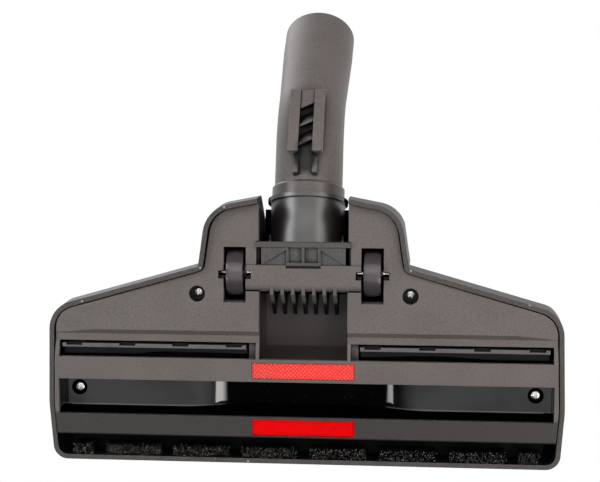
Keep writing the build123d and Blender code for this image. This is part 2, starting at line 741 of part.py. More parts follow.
def make_air_channel():
    """The polished duct insert: channel roof and walls, throat and the front screws' sinks."""
    duct = duct_form(DUCT_WALL)
    cup_r = SINK_R + SINK_WALL
    cups = both_sides(rod_z(cup_r, FRONT_SCREW_X, FRONT_SCREW_Y, ROOF_LOW, FRONT_SINK_TOP))
    duct += cups
    duct -= duct_form(0)
    duct -= box(-THROAT_HALF, THROAT_HALF, REAR_LAND_FRONT, THROAT_MOUTH_Y, -RIM_Z, ROOF_HIGH)
    sinks = rod_z(SINK_R, FRONT_SCREW_X, FRONT_SCREW_Y, -RIM_Z, FRONT_SINK_TOP - SINK_FLOOR)
    holes = rod_z(SCREW_R + RUNNING_GAP, FRONT_SCREW_X, FRONT_SCREW_Y, -RIM_Z, HUMP_TOP)
    pocket = box(
        CHANNEL_HALF - END_POCKET_RUN, CHANNEL_HALF, CHANNEL_FRONT, REAR_LAND_FRONT,
        ROOF_LOW, ROOF_LOW + END_POCKET_RISE,
    )
    duct -= both_sides(sinks + holes + pocket)
    duct -= sole_slab(0) + Pos(0, 0, -SOLE_T) * sole_slab(0)
    duct -= box(-BIG, BIG, -BIG, BIG, -BIG, SOLE_T)
    duct &= FIT_CAVITY
    return duct - DRUM_ROOM


def make_screws():
    """The four cross-head screws that join sole, channel and housing."""
    screws = []
    for x, y, top in screw_places():
        seat = top - SINK_FLOOR
        head = rod_z(SCREW_HEAD_R, x, y, seat - SCREW_HEAD_T, seat)
        shank = rod_z(SCREW_R, x, y, seat, top + SCREW_LENGTH - PART_GAP)
        arm = SCREW_HEAD_R / 2
        cross = box(-arm, arm, -SCREW_CROSS / 2, SCREW_CROSS / 2, 0, SCREW_CROSS_DEPTH)
        cross += Rot(0, 0, 90) * cross
        screws.append(head + shank - Pos(x, y, seat - SCREW_HEAD_T) * cross)
    return screws


def make_clip():
    """The clip that closes the pivot from below: bar, base, tongue and slanting steps."""
    y0 = BRIDGE_BACK
    y1 = y0 + CLIP_LENGTH
    top = CLIP_TOP
    bar_y = y1 - CLIP_BAR_RUN
    clip = box(-CLIP_BAR_HALF, CLIP_BAR_HALF, bar_y, y1, CLIP_BAR_Z, top)
    clip += box(-CLIP_BASE_HALF, CLIP_BASE_HALF, y0, bar_y, CLIP_BASE_Z, top)
    half = CLIP_TONGUE_HALF
    clip += box(-half, half, y0, y0 + CLIP_TONGUE_T, CLIP_TONGUE_Z, top)
    clip += box(-CLIP_RIB_T / 2, CLIP_RIB_T / 2, y0, bar_y, CLIP_TONGUE_Z, top)
    clip += both_sides(box(half - CLIP_RIB_T, half, y0, bar_y, CLIP_RIB_Z, top))
    run = CLIP_BASE_HALF - half
    rib = make_face(Polyline(
        (half, bar_y), (half, bar_y - CLIP_RIB_T), (half + run, y0), (half + run, bar_y), close=True,
    ))
    clip += both_sides(Pos(0, 0, CLIP_RIB_Z) * extrude(rib, top - CLIP_RIB_Z))
    return clip - DRUM_ROOM


def make_wheel(side):
    """One barrel-shaped wheel with its hub."""
    bore = AXLE_R + RUNNING_GAP
    outline = Polyline(
        (-WHEEL_HALF, WHEEL_EDGE_R), (-WHEEL_HALF, HUB_R), (-HUB_HALF, HUB_R), (-HUB_HALF, bore),
        (HUB_HALF, bore), (HUB_HALF, HUB_R), (WHEEL_HALF, HUB_R), (WHEEL_HALF, WHEEL_EDGE_R),
    )
    tread = ThreePointArc((WHEEL_HALF, WHEEL_EDGE_R), (0, WHEEL_R), (-WHEEL_HALF, WHEEL_EDGE_R))
    wheel = revolve(make_face(outline + tread), Axis.X)
    return Pos(side * WHEEL_X, WHEEL_Y, WHEEL_R) * wheel


def make_axle(side):
    """One steel axle."""
    return rod_x(AXLE_R, side * WHEEL_X - AXLE_HALF, side * WHEEL_X + AXLE_HALF, WHEEL_Y, WHEEL_R)


def make_neck():
    """The neck: drum with trunnions and an open front, cut back under the tube, and the flange."""
    under = box(-BIG, BIG, -DRUM_CUT, BIG, -BIG, 0)
    drum = rod_x(DRUM_R, -DRUM_HALF, DRUM_HALF, 0, 0) - under
    tube = rod_y(DRUM_R, -DRUM_CUT, NECK_LENGTH)
    flange = rod_y(FLANGE_R, NECK_LENGTH - FLANGE_T, NECK_LENGTH)
    reach = DRUM_HALF + TRUNNION_LENGTH
    trunnions = rod_x(TRUNNION_R, -reach, reach, 0, 0)
    room_half = DRUM_HALF - DRUM_WALL
    room = rod_x(DRUM_R - DRUM_WALL, -room_half, room_half, 0, 0) - under
    start = radians(DRUM_OPEN_FROM_DEG)
    end = radians(DRUM_OPEN_TO_DEG)
    middle = (start + end) / 2
    far = 2 * DRUM_R
    opening = slab_x(
        [(0, 0)] + [(far * cos(turn), far * sin(turn)) for turn in (start, middle, end)],
        -room_half, room_half,
    )
    neck = drum + trunnions + tube + flange
    neck -= room + opening + rod_y(TUBE_CAVITY_R, -DRUM_CUT, TUBE_LIP_START)
    return NECK_FRAME * (neck - rod_y(TUBE_LIP_R, 0, NECK_LENGTH))


def elbow_run(radius, start):
    """A round form from a start on the neck's axis, round the bend and along the end section."""
    section = Plane(origin=(0, BEND_Y, 0), x_dir=(1, 0, 0), z_dir=(0, 1, 0)) * Circle(radius)
    bend = revolve(section, Axis((0, BEND_Y, BEND_R), (1, 0, 0)), BEND_DEG)
    return rod_y(radius, start, BEND_Y) + bend + end_frame() * rod_y(radius, 0, END_LENGTH)


def elbow_mouth():
    """The wider mouth of the end section, with the cone that leads to it."""
    cone = Rot(-90, 0, 0) * Cone(ELBOW_R, MOUTH_R, END_TAPER_LENGTH)
    return Pos(0, END_TAPER_LENGTH / 2, 0) * cone + rod_y(MOUTH_R, END_TAPER_LENGTH, END_LENGTH)


def end_frame():
    """The frame of the elbow's end section, with Y along it."""
    turn = radians(BEND_DEG)
    return Pos(0, BEND_Y + BEND_R * sin(turn), BEND_R * (1 - cos(turn))) * Rot(BEND_DEG, 0, 0)


def hook_frame():
    """The frame on the bend's outer side in which the parking hook is drawn, face to -Z."""
    turn = radians(HOOK_PITCH_DEG)
    reach = BEND_R + ELBOW_R
    return Pos(0, BEND_Y + reach * sin(turn), BEND_R - reach * cos(turn)) * Rot(HOOK_PITCH_DEG, 0, 0)


def make_parking_hook():
    """The parking hook: two rails on legs, a slot between them and slanting ribs in the slot."""
    face = -HOOK_PROUD
    y1 = HOOK_AHEAD
    y0 = y1 - HOOK_LENGTH
    inner = HOOK_SLOT / 2
    depth = ELBOW_R / 2
    rail = box(inner, HOOK_HALF, y0, y1, face, face + HOOK_RAIL_T)
    leg = box(inner, inner + HOOK_LEG_T, y0, y1, face, depth)
    low_leg = box(inner, inner + HOOK_LEG_T, y0 - HOOK_LEG_EXTRA, y0, face + HOOK_LEG_STEP, depth)
    hook = both_sides(rail + leg + low_leg)
    rib_face = face + HOOK_RIB_SINK
    rib = slab_x(
        [
            (0, rib_face),
            (0, depth),
            (HOOK_RIB_RUN, depth),
            (HOOK_RIB_RUN, HOOK_FLOOR),
            (HOOK_RIB_LAND, rib_face),
        ],
        -HOOK_SLOT, HOOK_SLOT,
    )
    slot = hook_slot(face, depth)
    turn = Rot(0, 0, HOOK_RIB_SLANT_DEG)
    for index in range(HOOK_RIB_COUNT):
        hook += (Pos(0, y1 - HOOK_RIB_FIRST - index * HOOK_RIB_PITCH, 0) * turn * rib) & slot
    block = turn * box(-HOOK_SLOT, HOOK_SLOT, 0, HOOK_LENGTH, rib_face, depth)
    block = Pos(0, y1 - HOOK_RIB_FIRST, 0) * block
    return hook_frame() * (hook + (block & slot))


def hook_slot(z0, z1):
    """The space between the hook's rails, between two depths."""
    inner = HOOK_SLOT / 2
    return box(-inner, inner, HOOK_AHEAD - HOOK_LENGTH, HOOK_AHEAD, z0, z1)


def make_elbow():
    """The elbow: spigot with its bead, bend, parking hook and the socket for the tube."""
    spigot_r = TUBE_LIP_R - SPIGOT_GAP
    spigot_end = NECK_LENGTH + PART_GAP
    groove_r = spigot_r - SEAL_SECTION
    bead_y = TUBE_LIP_START - PART_GAP
    elbow = elbow_run(ELBOW_R, spigot_end) - hook_frame() * hook_slot(-HOOK_PROUD, HOOK_FLOOR)
    elbow += end_frame() * elbow_mouth() + make_parking_hook()
    elbow -= elbow_run(ELBOW_BORE_R, spigot_end)
    spigot = rod_y(spigot_r, SPIGOT_START, spigot_end)
    spigot += rod_y(TUBE_LIP_R - SPIGOT_GAP + SPIGOT_BEAD, bead_y - SPIGOT_BEAD_T, bead_y)
    spigot -= rod_y(spigot_r + PART_GAP, SEAL_START, SEAL_START + SEAL_T) - rod_y(
        groove_r, SEAL_START, SEAL_START + SEAL_T
    )
    spigot -= rod_y(ELBOW_BORE_R, SPIGOT_START, spigot_end)
    elbow += spigot
    elbow -= end_frame() * rod_y(SOCKET_R, END_LENGTH - SOCKET_DEPTH, END_LENGTH)
    return ELBOW_FRAME * elbow


def make_collar():
    """The collar ring at the foot of the elbow."""
    start = NECK_LENGTH + PART_GAP
    end = start + COLLAR_LENGTH
    collar = rod_y(COLLAR_R, start, end)
    collar = chamfer(collar.edges().filter_by(GeomType.CIRCLE).sort_by(Axis.Y)[-1], COLLAR_EDGE)
    return ELBOW_FRAME * (collar - rod_y(ELBOW_R, start, end))


def make_seal():
    """The sealing ring in the spigot's groove."""
    inner = TUBE_LIP_R - SPIGOT_GAP - SEAL_SECTION
    ring = rod_y(TUBE_LIP_R - SEAL_GAP, SEAL_START, SEAL_START + SEAL_T)
    return ELBOW_FRAME * (ring - rod_y(inner, SEAL_START, SEAL_START + SEAL_T))


def make_carriage():
    """The brush carriage: brush bar, two lip bars, arms on the guides and lugs for the pedal."""
    bar = box(
        -BRUSH_BAR_HALF, BRUSH_BAR_HALF, BRUSH_FRONT + BAR_GAP, FRONT_LAND_FRONT - BAR_GAP,
        BAR_Z, BAR_TOP,
    )
    side = box(LIP_BAR_START, LIP_BAR_END, REAR_LAND_BACK + BAR_GAP, SLOT_BACK - BAR_GAP, BAR_Z, BAR_TOP)
    side += box(
        ARM_X - ARM_HALF, ARM_X + ARM_HALF, BRUSH_Y, SLOT_BACK - BAR_GAP,
        BAR_TOP, BAR_TOP + ARM_T,
    )
    side -= rod_z(GUIDE_R + PART_GAP, ARM_X, GUIDE_Y, 0, BIG)
    stub_y, stub_z = stub_place(-PEDAL_SWING_DEG / 2)
    pressed_y, _ = stub_place(PEDAL_SWING_DEG / 2)
    lug_x = PEDAL_CHEEK_X + PEDAL_CHEEK_T + LUG_GAP
    lug = box(
        lug_x, lug_x + LUG_T, LIP_Y - LUG_RUN, LIP_Y + LUG_RUN, BAR_Z, stub_z + LUG_RISE
    )
    slot_r = STUB_R + PART_GAP
    lug -= rod_x(slot_r, lug_x, lug_x + LUG_T, stub_y, stub_z)
    lug -= rod_x(slot_r, lug_x, lug_x + LUG_T, pressed_y, stub_z)
    lug -= box(lug_x, lug_x + LUG_T, stub_y, pressed_y, stub_z - slot_r, stub_z + slot_r)
    return bar + both_sides(side + lug)


def stub_place(turn_deg):
    """The place of the pedal's stub pins, as (y, z), with the pedal turned from level."""
    turn = radians(turn_deg)
    y = HINGE_Y - PEDAL_ARM * cos(turn) + PEDAL_DROP * sin(turn)
    z = HINGE_Z - PEDAL_ARM * sin(turn) - PEDAL_DROP * cos(turn)
    return y, z


def make_tufts():
    """The bristle groups: full ones along the bar and a short one at each end."""
    y0 = BRUSH_FRONT + TUFT_LEAD
    y1 = y0 + TUFT_WIDTH
    pitch = TUFT_LENGTH + TUFT_GAP
    first = -(TUFT_COUNT * pitch - TUFT_GAP) / 2
    tufts = []
    for index in range(TUFT_COUNT):
        x0 = first + index * pitch
        tufts.append(box(x0, x0 + TUFT_LENGTH, y0, y1, TIP_Z, BAR_Z))
    x0 = -first + TUFT_GAP
    for side in (1, -1):
        ends = sorted((side * x0, side * (BRUSH_BAR_HALF - TUFT_MARGIN)))
        tufts.append(box(ends[0], ends[1], y0, y1, TIP_Z, BAR_Z))
    return tufts


def make_lip(side):
    """One rubber lip: a blade, notched along the back of its edge, with a wing across the slot."""
    back = SLOT_BACK - BAR_GAP
    front = back - LIP_T
    wing = REAR_LAND_BACK + LIP_WING_GAP
    lip = box(LIP_START, LIP_END, front, back, TIP_Z, BAR_Z)
    lip += box(LIP_START, LIP_END, wing, front, LIP_WING_Z, LIP_WING_Z + LIP_WING_T)
    pitch = (LIP_END - LIP_START - 2 * LIP_NOTCH_INSET) / (LIP_NOTCH_COUNT - 1)
    for index in range(LIP_NOTCH_COUNT):
        x0 = LIP_START + LIP_NOTCH_INSET + index * pitch - LIP_NOTCH / 2
        lip -= box(x0, x0 + LIP_NOTCH, back - LIP_NOTCH_DEPTH, back, TIP_Z, TIP_Z + LIP_NOTCH_RISE)
    return lip if side > 0 else mirror(lip, about=Plane.YZ)


def make_pedal():
    """The rocking pedal: ribbed plate, two cheeks with stub pins and the detent's nose."""
    plate = box(-PEDAL_HALF, PEDAL_HALF, -PEDAL_FRONT, PEDAL_BACK, PEDAL_Z, PEDAL_Z + PEDAL_T)
    plate = fillet(plate.edges().filter_by(Axis.Z), PEDAL_CORNER_R)
    plate = fillet(plate.faces().sort_by(Axis.Z)[-1].edges(), PEDAL_EDGE_R)
    for index in range(PEDAL_RIB_COUNT):
        y = -PEDAL_FRONT + PEDAL_RIB_PITCH * (index + 1)
        half = PEDAL_HALF - PEDAL_RIB_PITCH
        top = PEDAL_Z + PEDAL_T + PEDAL_RIB_RISE
        plate += box(-half, half, y, y + PEDAL_RIB_T, PEDAL_Z, top)
    cheek = slab_x(
        [
            (-PEDAL_ARM - PEDAL_CHEEK_R, -PEDAL_DROP),
            (-PEDAL_ARM - PEDAL_CHEEK_R, PEDAL_Z),
            (PEDAL_CHEEK_R, PEDAL_Z),
            (PEDAL_CHEEK_R, -PEDAL_CHEEK_R),
            (-PEDAL_ARM, -PEDAL_DROP - PEDAL_CHEEK_R),
        ],
        PEDAL_CHEEK_X, PEDAL_CHEEK_X + PEDAL_CHEEK_T,
        [0, 0, 0, PEDAL_CHEEK_R / 2, PEDAL_CHEEK_R / 2],
    )
    stub_x = PEDAL_CHEEK_X + PEDAL_CHEEK_T
    cheek += rod_x(STUB_R, stub_x, stub_x + STUB_LENGTH, -PEDAL_ARM, -PEDAL_DROP)
    pedal = plate + both_sides(cheek)
    pedal += box(-NOSE_HALF, NOSE_HALF, -NOSE_FROM, -NOSE_TO, NOSE_Z, PEDAL_Z)
    pedal -= rod_x(PIN_R + RUNNING_GAP, -BIG, BIG, 0, 0)
    return Pos(0, HINGE_Y, HINGE_Z) * Rot(-PEDAL_SWING_DEG / 2, 0, 0) * pedal


def make_pedal_pin():
    """The steel pin that the pedal rocks on."""
    return rod_x(PIN_R, -HINGE_END, HINGE_END, HINGE_Y, HINGE_Z)


def make_detent_spring():
    """The leaf spring under the pedal's nose."""
    z = ROOF_HIGH + DUCT_WALL
    middle = HINGE_Y - (NOSE_FROM + NOSE_TO) / 2
    foot = middle - LEAF_RUN
    outline = [
        (foot - LEAF_FOOT, z),
        (foot, z),
        (middle, z + LEAF_RISE),
        (middle + LEAF_RUN, z),
        (middle + LEAF_RUN, z + LEAF_T),
        (middle, z + LEAF_RISE + LEAF_T),
        (foot, z + LEAF_T),
        (foot - LEAF_FOOT, z + LEAF_T),
    ]
    return slab_x(outline, -LEAF_HALF, LEAF_HALF)


def main():
    """Write each piece to its own file."""
    front_pad, rear_pad = pad_places()
    pieces = {
        "upper_housing": make_housing(),
        "sole_plate": make_sole(),
        "air_channel": make_air_channel(),
        "lint_picker_front": make_lint_picker(front_pad),
        "lint_picker_rear": make_lint_picker(rear_pad),
        "housing_screws": Compound(children=make_screws()),
        "pivot_clip": make_clip(),
        "wheel_left": make_wheel(-1),
        "wheel_right": make_wheel(1),
        "axle_left": make_axle(-1),
        "axle_right": make_axle(1),
        "neck": make_neck(),
        "elbow": make_elbow(),
        "swivel_collar": make_collar(),
        "swivel_seal": make_seal(),
        "brush_carriage": make_carriage(),
        "bristle_tufts": Compound(children=make_tufts()),
        "rubber_lip_left": make_lip(-1),
        "rubber_lip_right": make_lip(1),
        "foot_pedal": make_pedal(),
        "pedal_pin": make_pedal_pin(),
        "detent_spring": make_detent_spring(),
    }
    os.makedirs("parts", exist_ok=True)
    for name, piece in pieces.items():
        export_step(piece, f"parts/{name}.step")


main()
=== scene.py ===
"""Looks of a vacuum floor brush head, seen from below: finishes, fibres, lips and screws."""

import logging
import math
import random
from dataclasses import dataclass
from enum import Enum
from typing import Any, Callable, Mapping, Sequence, Union

import bmesh
import bpy
from mathutils import Matrix, Vector


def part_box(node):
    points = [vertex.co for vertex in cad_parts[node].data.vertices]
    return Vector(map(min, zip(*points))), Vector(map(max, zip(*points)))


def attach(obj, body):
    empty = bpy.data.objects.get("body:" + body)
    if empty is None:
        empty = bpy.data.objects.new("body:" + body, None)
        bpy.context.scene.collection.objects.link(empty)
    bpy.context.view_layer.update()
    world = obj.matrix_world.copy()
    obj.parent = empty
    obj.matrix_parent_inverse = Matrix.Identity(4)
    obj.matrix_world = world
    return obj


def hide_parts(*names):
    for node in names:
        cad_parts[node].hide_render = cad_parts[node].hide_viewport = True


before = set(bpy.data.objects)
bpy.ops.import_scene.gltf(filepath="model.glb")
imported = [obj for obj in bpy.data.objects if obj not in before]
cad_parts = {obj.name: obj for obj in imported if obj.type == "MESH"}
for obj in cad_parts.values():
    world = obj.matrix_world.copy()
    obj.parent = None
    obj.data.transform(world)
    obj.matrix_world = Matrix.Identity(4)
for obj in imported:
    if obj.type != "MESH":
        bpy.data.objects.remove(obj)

MM = 0.001
LOG = logging.getLogger("brush_head")
Colour = tuple[float, float, float, float]
Point = tuple[float, float, float]
Pair = tuple[float, float]
Piece = bpy.types.Object
Material = bpy.types.Material
Term = Union["Value", float]
Settings = Mapping[str, Any] | None
Inputs = Mapping[str | int, Any] | None
BLACK: Colour = (0.001, 0.001, 0.001, 1.0)


def srgb(red: int, green: int, blue: int) -> Colour:
    """Turns a colour as it shows on a screen into the linear colour that shaders take.

    Args:
        red, green, blue: The screen's levels, from 0 to 255.

    Returns:
        The linear colour with full alpha.
    """
    shares = [channel / 255 for channel in (red, green, blue)]
    linear = [s / 12.92 if s <= 0.04045 else ((s + 0.055) / 1.055) ** 2.4 for s in shares]
    return (linear[0], linear[1], linear[2], 1.0)


class Value:
    """A shader socket that takes part in Python arithmetic."""

    def __init__(self, graph: "Graph", socket: bpy.types.NodeSocket) -> None:
        """Keeps the socket and the graph that its nodes are in."""
        self.graph = graph
        self.socket = socket

    def _math(self, operation: str, first: Term, second: Term) -> "Value":
        """Adds a Math node.

        Args:
            operation: The node's operation.
            first: The first term.
            second: The second term.

        Returns:
            The node's result.
        """
        return self.graph.add("ShaderNodeMath", {"operation": operation}, {0: first, 1: second})

    def __add__(self, other: Term) -> "Value":
        """Adds a number or a value."""
        return self._math("ADD", self, other)

    def __sub__(self, other: Term) -> "Value":
        """Takes a number or a value away."""
        return self._math("SUBTRACT", self, other)

    def __rsub__(self, other: float) -> "Value":
        """Takes this value away from a number."""
        return self._math("SUBTRACT", other, self)

    def __mul__(self, other: Term) -> "Value":
        """Multiplies by a number or a value."""
        return self._math("MULTIPLY", self, other)

    __radd__ = __add__
    __rmul__ = __mul__

    def most(self, other: Term) -> "Value":
        """Takes the larger of two values."""
        return self._math("MAXIMUM", self, other)

    def least(self, other: Term) -> "Value":
        """Takes the smaller of two values."""
        return self._math("MINIMUM", self, other)


class Graph:
    """The node tree of a material or of the world."""

    def __init__(self, owner: "bpy.types.Material | bpy.types.World") -> None:
        """Empties the owner's node tree.

        Args:
            owner: The material or world that the nodes belong to.
        """
        owner.use_nodes = True
        self.owner = owner
        self.tree = owner.node_tree
        self.tree.nodes.clear()

    def node(self, kind: str, settings: Settings = None, inputs: Inputs = None) -> bpy.types.Node:
        """Adds a node, sets its settings first and then its sockets.

        Args:
            kind: The node's type.
            settings: The node's own settings.
            inputs: What each socket holds: a number, a colour, or a value to link.

        Returns:
            The new node.
        """
        made = self.tree.nodes.new(kind)
        for key, setting in (settings or {}).items():
            setattr(made, key, setting)
        for key, given in (inputs or {}).items():
            self.feed(made.inputs[key], given)
        return made

    def feed(self, socket: bpy.types.NodeSocket, given: Any) -> None:
        """Links a value to a socket, or sets the socket to a plain number or colour."""
        if isinstance(given, Value):
            self.tree.links.new(given.socket, socket)
        else:
            socket.default_value = given

    def add(
        self, kind: str, settings: Settings = None, inputs: Inputs = None, output: str | int = 0
    ) -> Value:
        """Adds a node and gives one of its results.

        Args:
            kind: The node's type.
            settings: The node's own settings.
            inputs: What each socket holds.
            output: The name or number of the result that is wanted.

        Returns:
            The result as a value.
        """
        return Value(self, self.node(kind, settings, inputs).outputs[output])

    def span(self, value: Value, low: float, high: float) -> Value:
        """Maps a value so that low becomes 0 and high becomes 1, with soft ends.

        Args:
            value: The value to map.
            low: What becomes 0.
            high: What becomes 1.

        Returns:
            The mapped value, from 0 to 1.
        """
        settings = {"interpolation_type": "SMOOTHSTEP"}
        return self.add("ShaderNodeMapRange", settings, {"Value": value, "From Min": low, "From Max": high})

    def blend(self, share: Term, first: "Value | Colour", second: "Value | Colour") -> Value:
        """Mixes two colours.

        Args:
            share: How much of the second colour shows.
            first: The colour at share 0.
            second: The colour at share 1.

        Returns:
            The mixed colour.
        """
        return self.add("ShaderNodeMix", {"data_type": "RGBA"}, {0: share, 6: first, 7: second}, 2)


class SurfaceGraph(Graph):
    """The node tree of a finish, with the patterns that finishes share."""

    def __init__(self, name: str) -> None:
        """Makes the material with its shader and output.

        Args:
            name: The material's name.
        """
        super().__init__(bpy.data.materials.new(name))
        self.shader = self.node("ShaderNodeBsdfPrincipled")
        shaded = Value(self, self.shader.outputs["BSDF"])
        self.node("ShaderNodeOutputMaterial", inputs={"Surface": shaded})
        self.place = self.add("ShaderNodeTexCoord", output="Object")

    def axis(self, name: str) -> Value:
        """Gives one coordinate of the object's own space, in metres."""
        return self.add("ShaderNodeSeparateXYZ", inputs={0: self.place}, output=name)

    def noise(self, size: float, detail: float = 2.0, stretch: Point = (1.0, 1.0, 1.0)) -> Value:
        """Adds a cloudy pattern.

        Args:
            size: The width of its patches in metres.
            detail: How many finer layers it has.
            stretch: How much longer its patches are along each axis.

        Returns:
            The pattern, from about 0.3 to 0.7.
        """
        scale = tuple(1 / along for along in stretch)
        turned = self.add("ShaderNodeMapping", inputs={"Vector": self.place, "Scale": scale})
        return self.add("ShaderNodeTexNoise", inputs={"Vector": turned, "Scale": 1 / size, "Detail": detail})

    def attribute(self, name: str) -> Value:
        """Gives a mesh attribute's number."""
        return self.add("ShaderNodeAttribute", {"attribute_name": name}, output="Fac")

    def soft_normal(self, radius: float) -> Value:
        """Gives a normal that rounds sharp edges over a radius in metres."""
        return self.add("ShaderNodeBevel", {"samples": 6}, {"Radius": radius}, "Normal")

    def facing(self, other: Value) -> Value:
        """Gives the dot product of the face's own normal with another vector."""
        flat = self.add("ShaderNodeNewGeometry", output="True Normal")
        dot = {"operation": "DOT_PRODUCT"}
        return self.add("ShaderNodeVectorMath", dot, {0: other, 1: flat}, "Value")

    def edge(self, radius: float) -> Value:
        """Finds the edges of a shape.

        Args:
            radius: How far the mask reaches from an edge, in metres.

        Returns:
            A mask that is 1 along sharp edges and 0 on flat faces.
        """
        return self.span(1 - self.facing(self.soft_normal(radius)), 0.015, 0.2)

    def open_air(self, reach: float, low: float, high: float) -> Value:
        """Says how open a place is.

        Args:
            reach: How far off another surface can hem it in, in metres.
            low: The share of open sky at which a place counts as shut in.
            high: The share at which it counts as open.

        Returns:
            1 on open faces, falling to 0 deep in a recess.
        """
        local = {"samples": 8, "only_local": True}
        clear = self.add("ShaderNodeAmbientOcclusion", local, {"Distance": reach}, "AO")
        return self.span(clear, low, high)

    def near(self, start: Value, places: Sequence[Point], full: float, gone: float) -> Term:
        """Marks what is near to some points.

        Args:
            start: The coordinates that the distance is taken from.
            places: The points in metres.
            full: The distance within which the mask is 1.
            gone: The distance beyond which it is 0.

        Returns:
            The mask of all points together.
        """
        found: Term = 0.0
        distance = {"operation": "DISTANCE"}
        for place in places:
            off = self.add("ShaderNodeVectorMath", distance, {0: start, 1: place}, "Value")
            found = (1 - self.span(off, full, gone)) + found
        return found

    def pits(self, places: Sequence[Pair], radius: float) -> Term:
        """Marks round pits along Z.

        Args:
            places: The pits' middles along X and Y, in metres.
            radius: Their radius in metres.

        Returns:
            A mask that is 1 inside the pits.
        """
        flat = {0: self.place, 1: (1.0, 1.0, 0.0)}
        start = self.add("ShaderNodeVectorMath", {"operation": "MULTIPLY"}, flat)
        return self.near(start, [(x, y, 0.0) for x, y in places], radius, radius + 0.2 * MM)

    def bump(self, height: Value, depth: float, normal: Value) -> Value:
        """Turns a height pattern into a normal.

        Args:
            height: The pattern, from 0 to 1.
            depth: The relief's depth in metres.
            normal: The normal that it starts from.

        Returns:
            The bumped normal.
        """
        return self.add("ShaderNodeBump", inputs={"Height": height, "Distance": depth, "Normal": normal})

    def finish(self, **sockets: Any) -> Material:
        """Feeds the shader and gives the finished material.

        Args:
            **sockets: A shader socket's name in lower case, with _ for a space, and what it holds.

        Returns:
            The material.
        """
        for name, given in sockets.items():
            socket = next(s for s in self.shader.inputs if s.name.lower().replace(" ", "_") == name)
            self.feed(socket, given)
        return self.owner


@dataclass(frozen=True)
class Finish:
    """A surface finish, made into a material once and shared by the pieces that have it."""

    name: str

    def material(self) -> Material:
        """Gives the finish's material, made on first use."""
        return bpy.data.materials.get(self.name) or self.build()

    def build(self) -> Material:
        """Makes the material."""
        raise NotImplementedError(self.name)

    def dress(self, piece: Piece) -> None:
        """Gives a piece this finish all over.

        Args:
            piece: The object whose material slots are set.
        """
        if not piece.material_slots:
            piece.data.materials.append(None)
        for place in piece.material_slots:
            place.material = self.material()


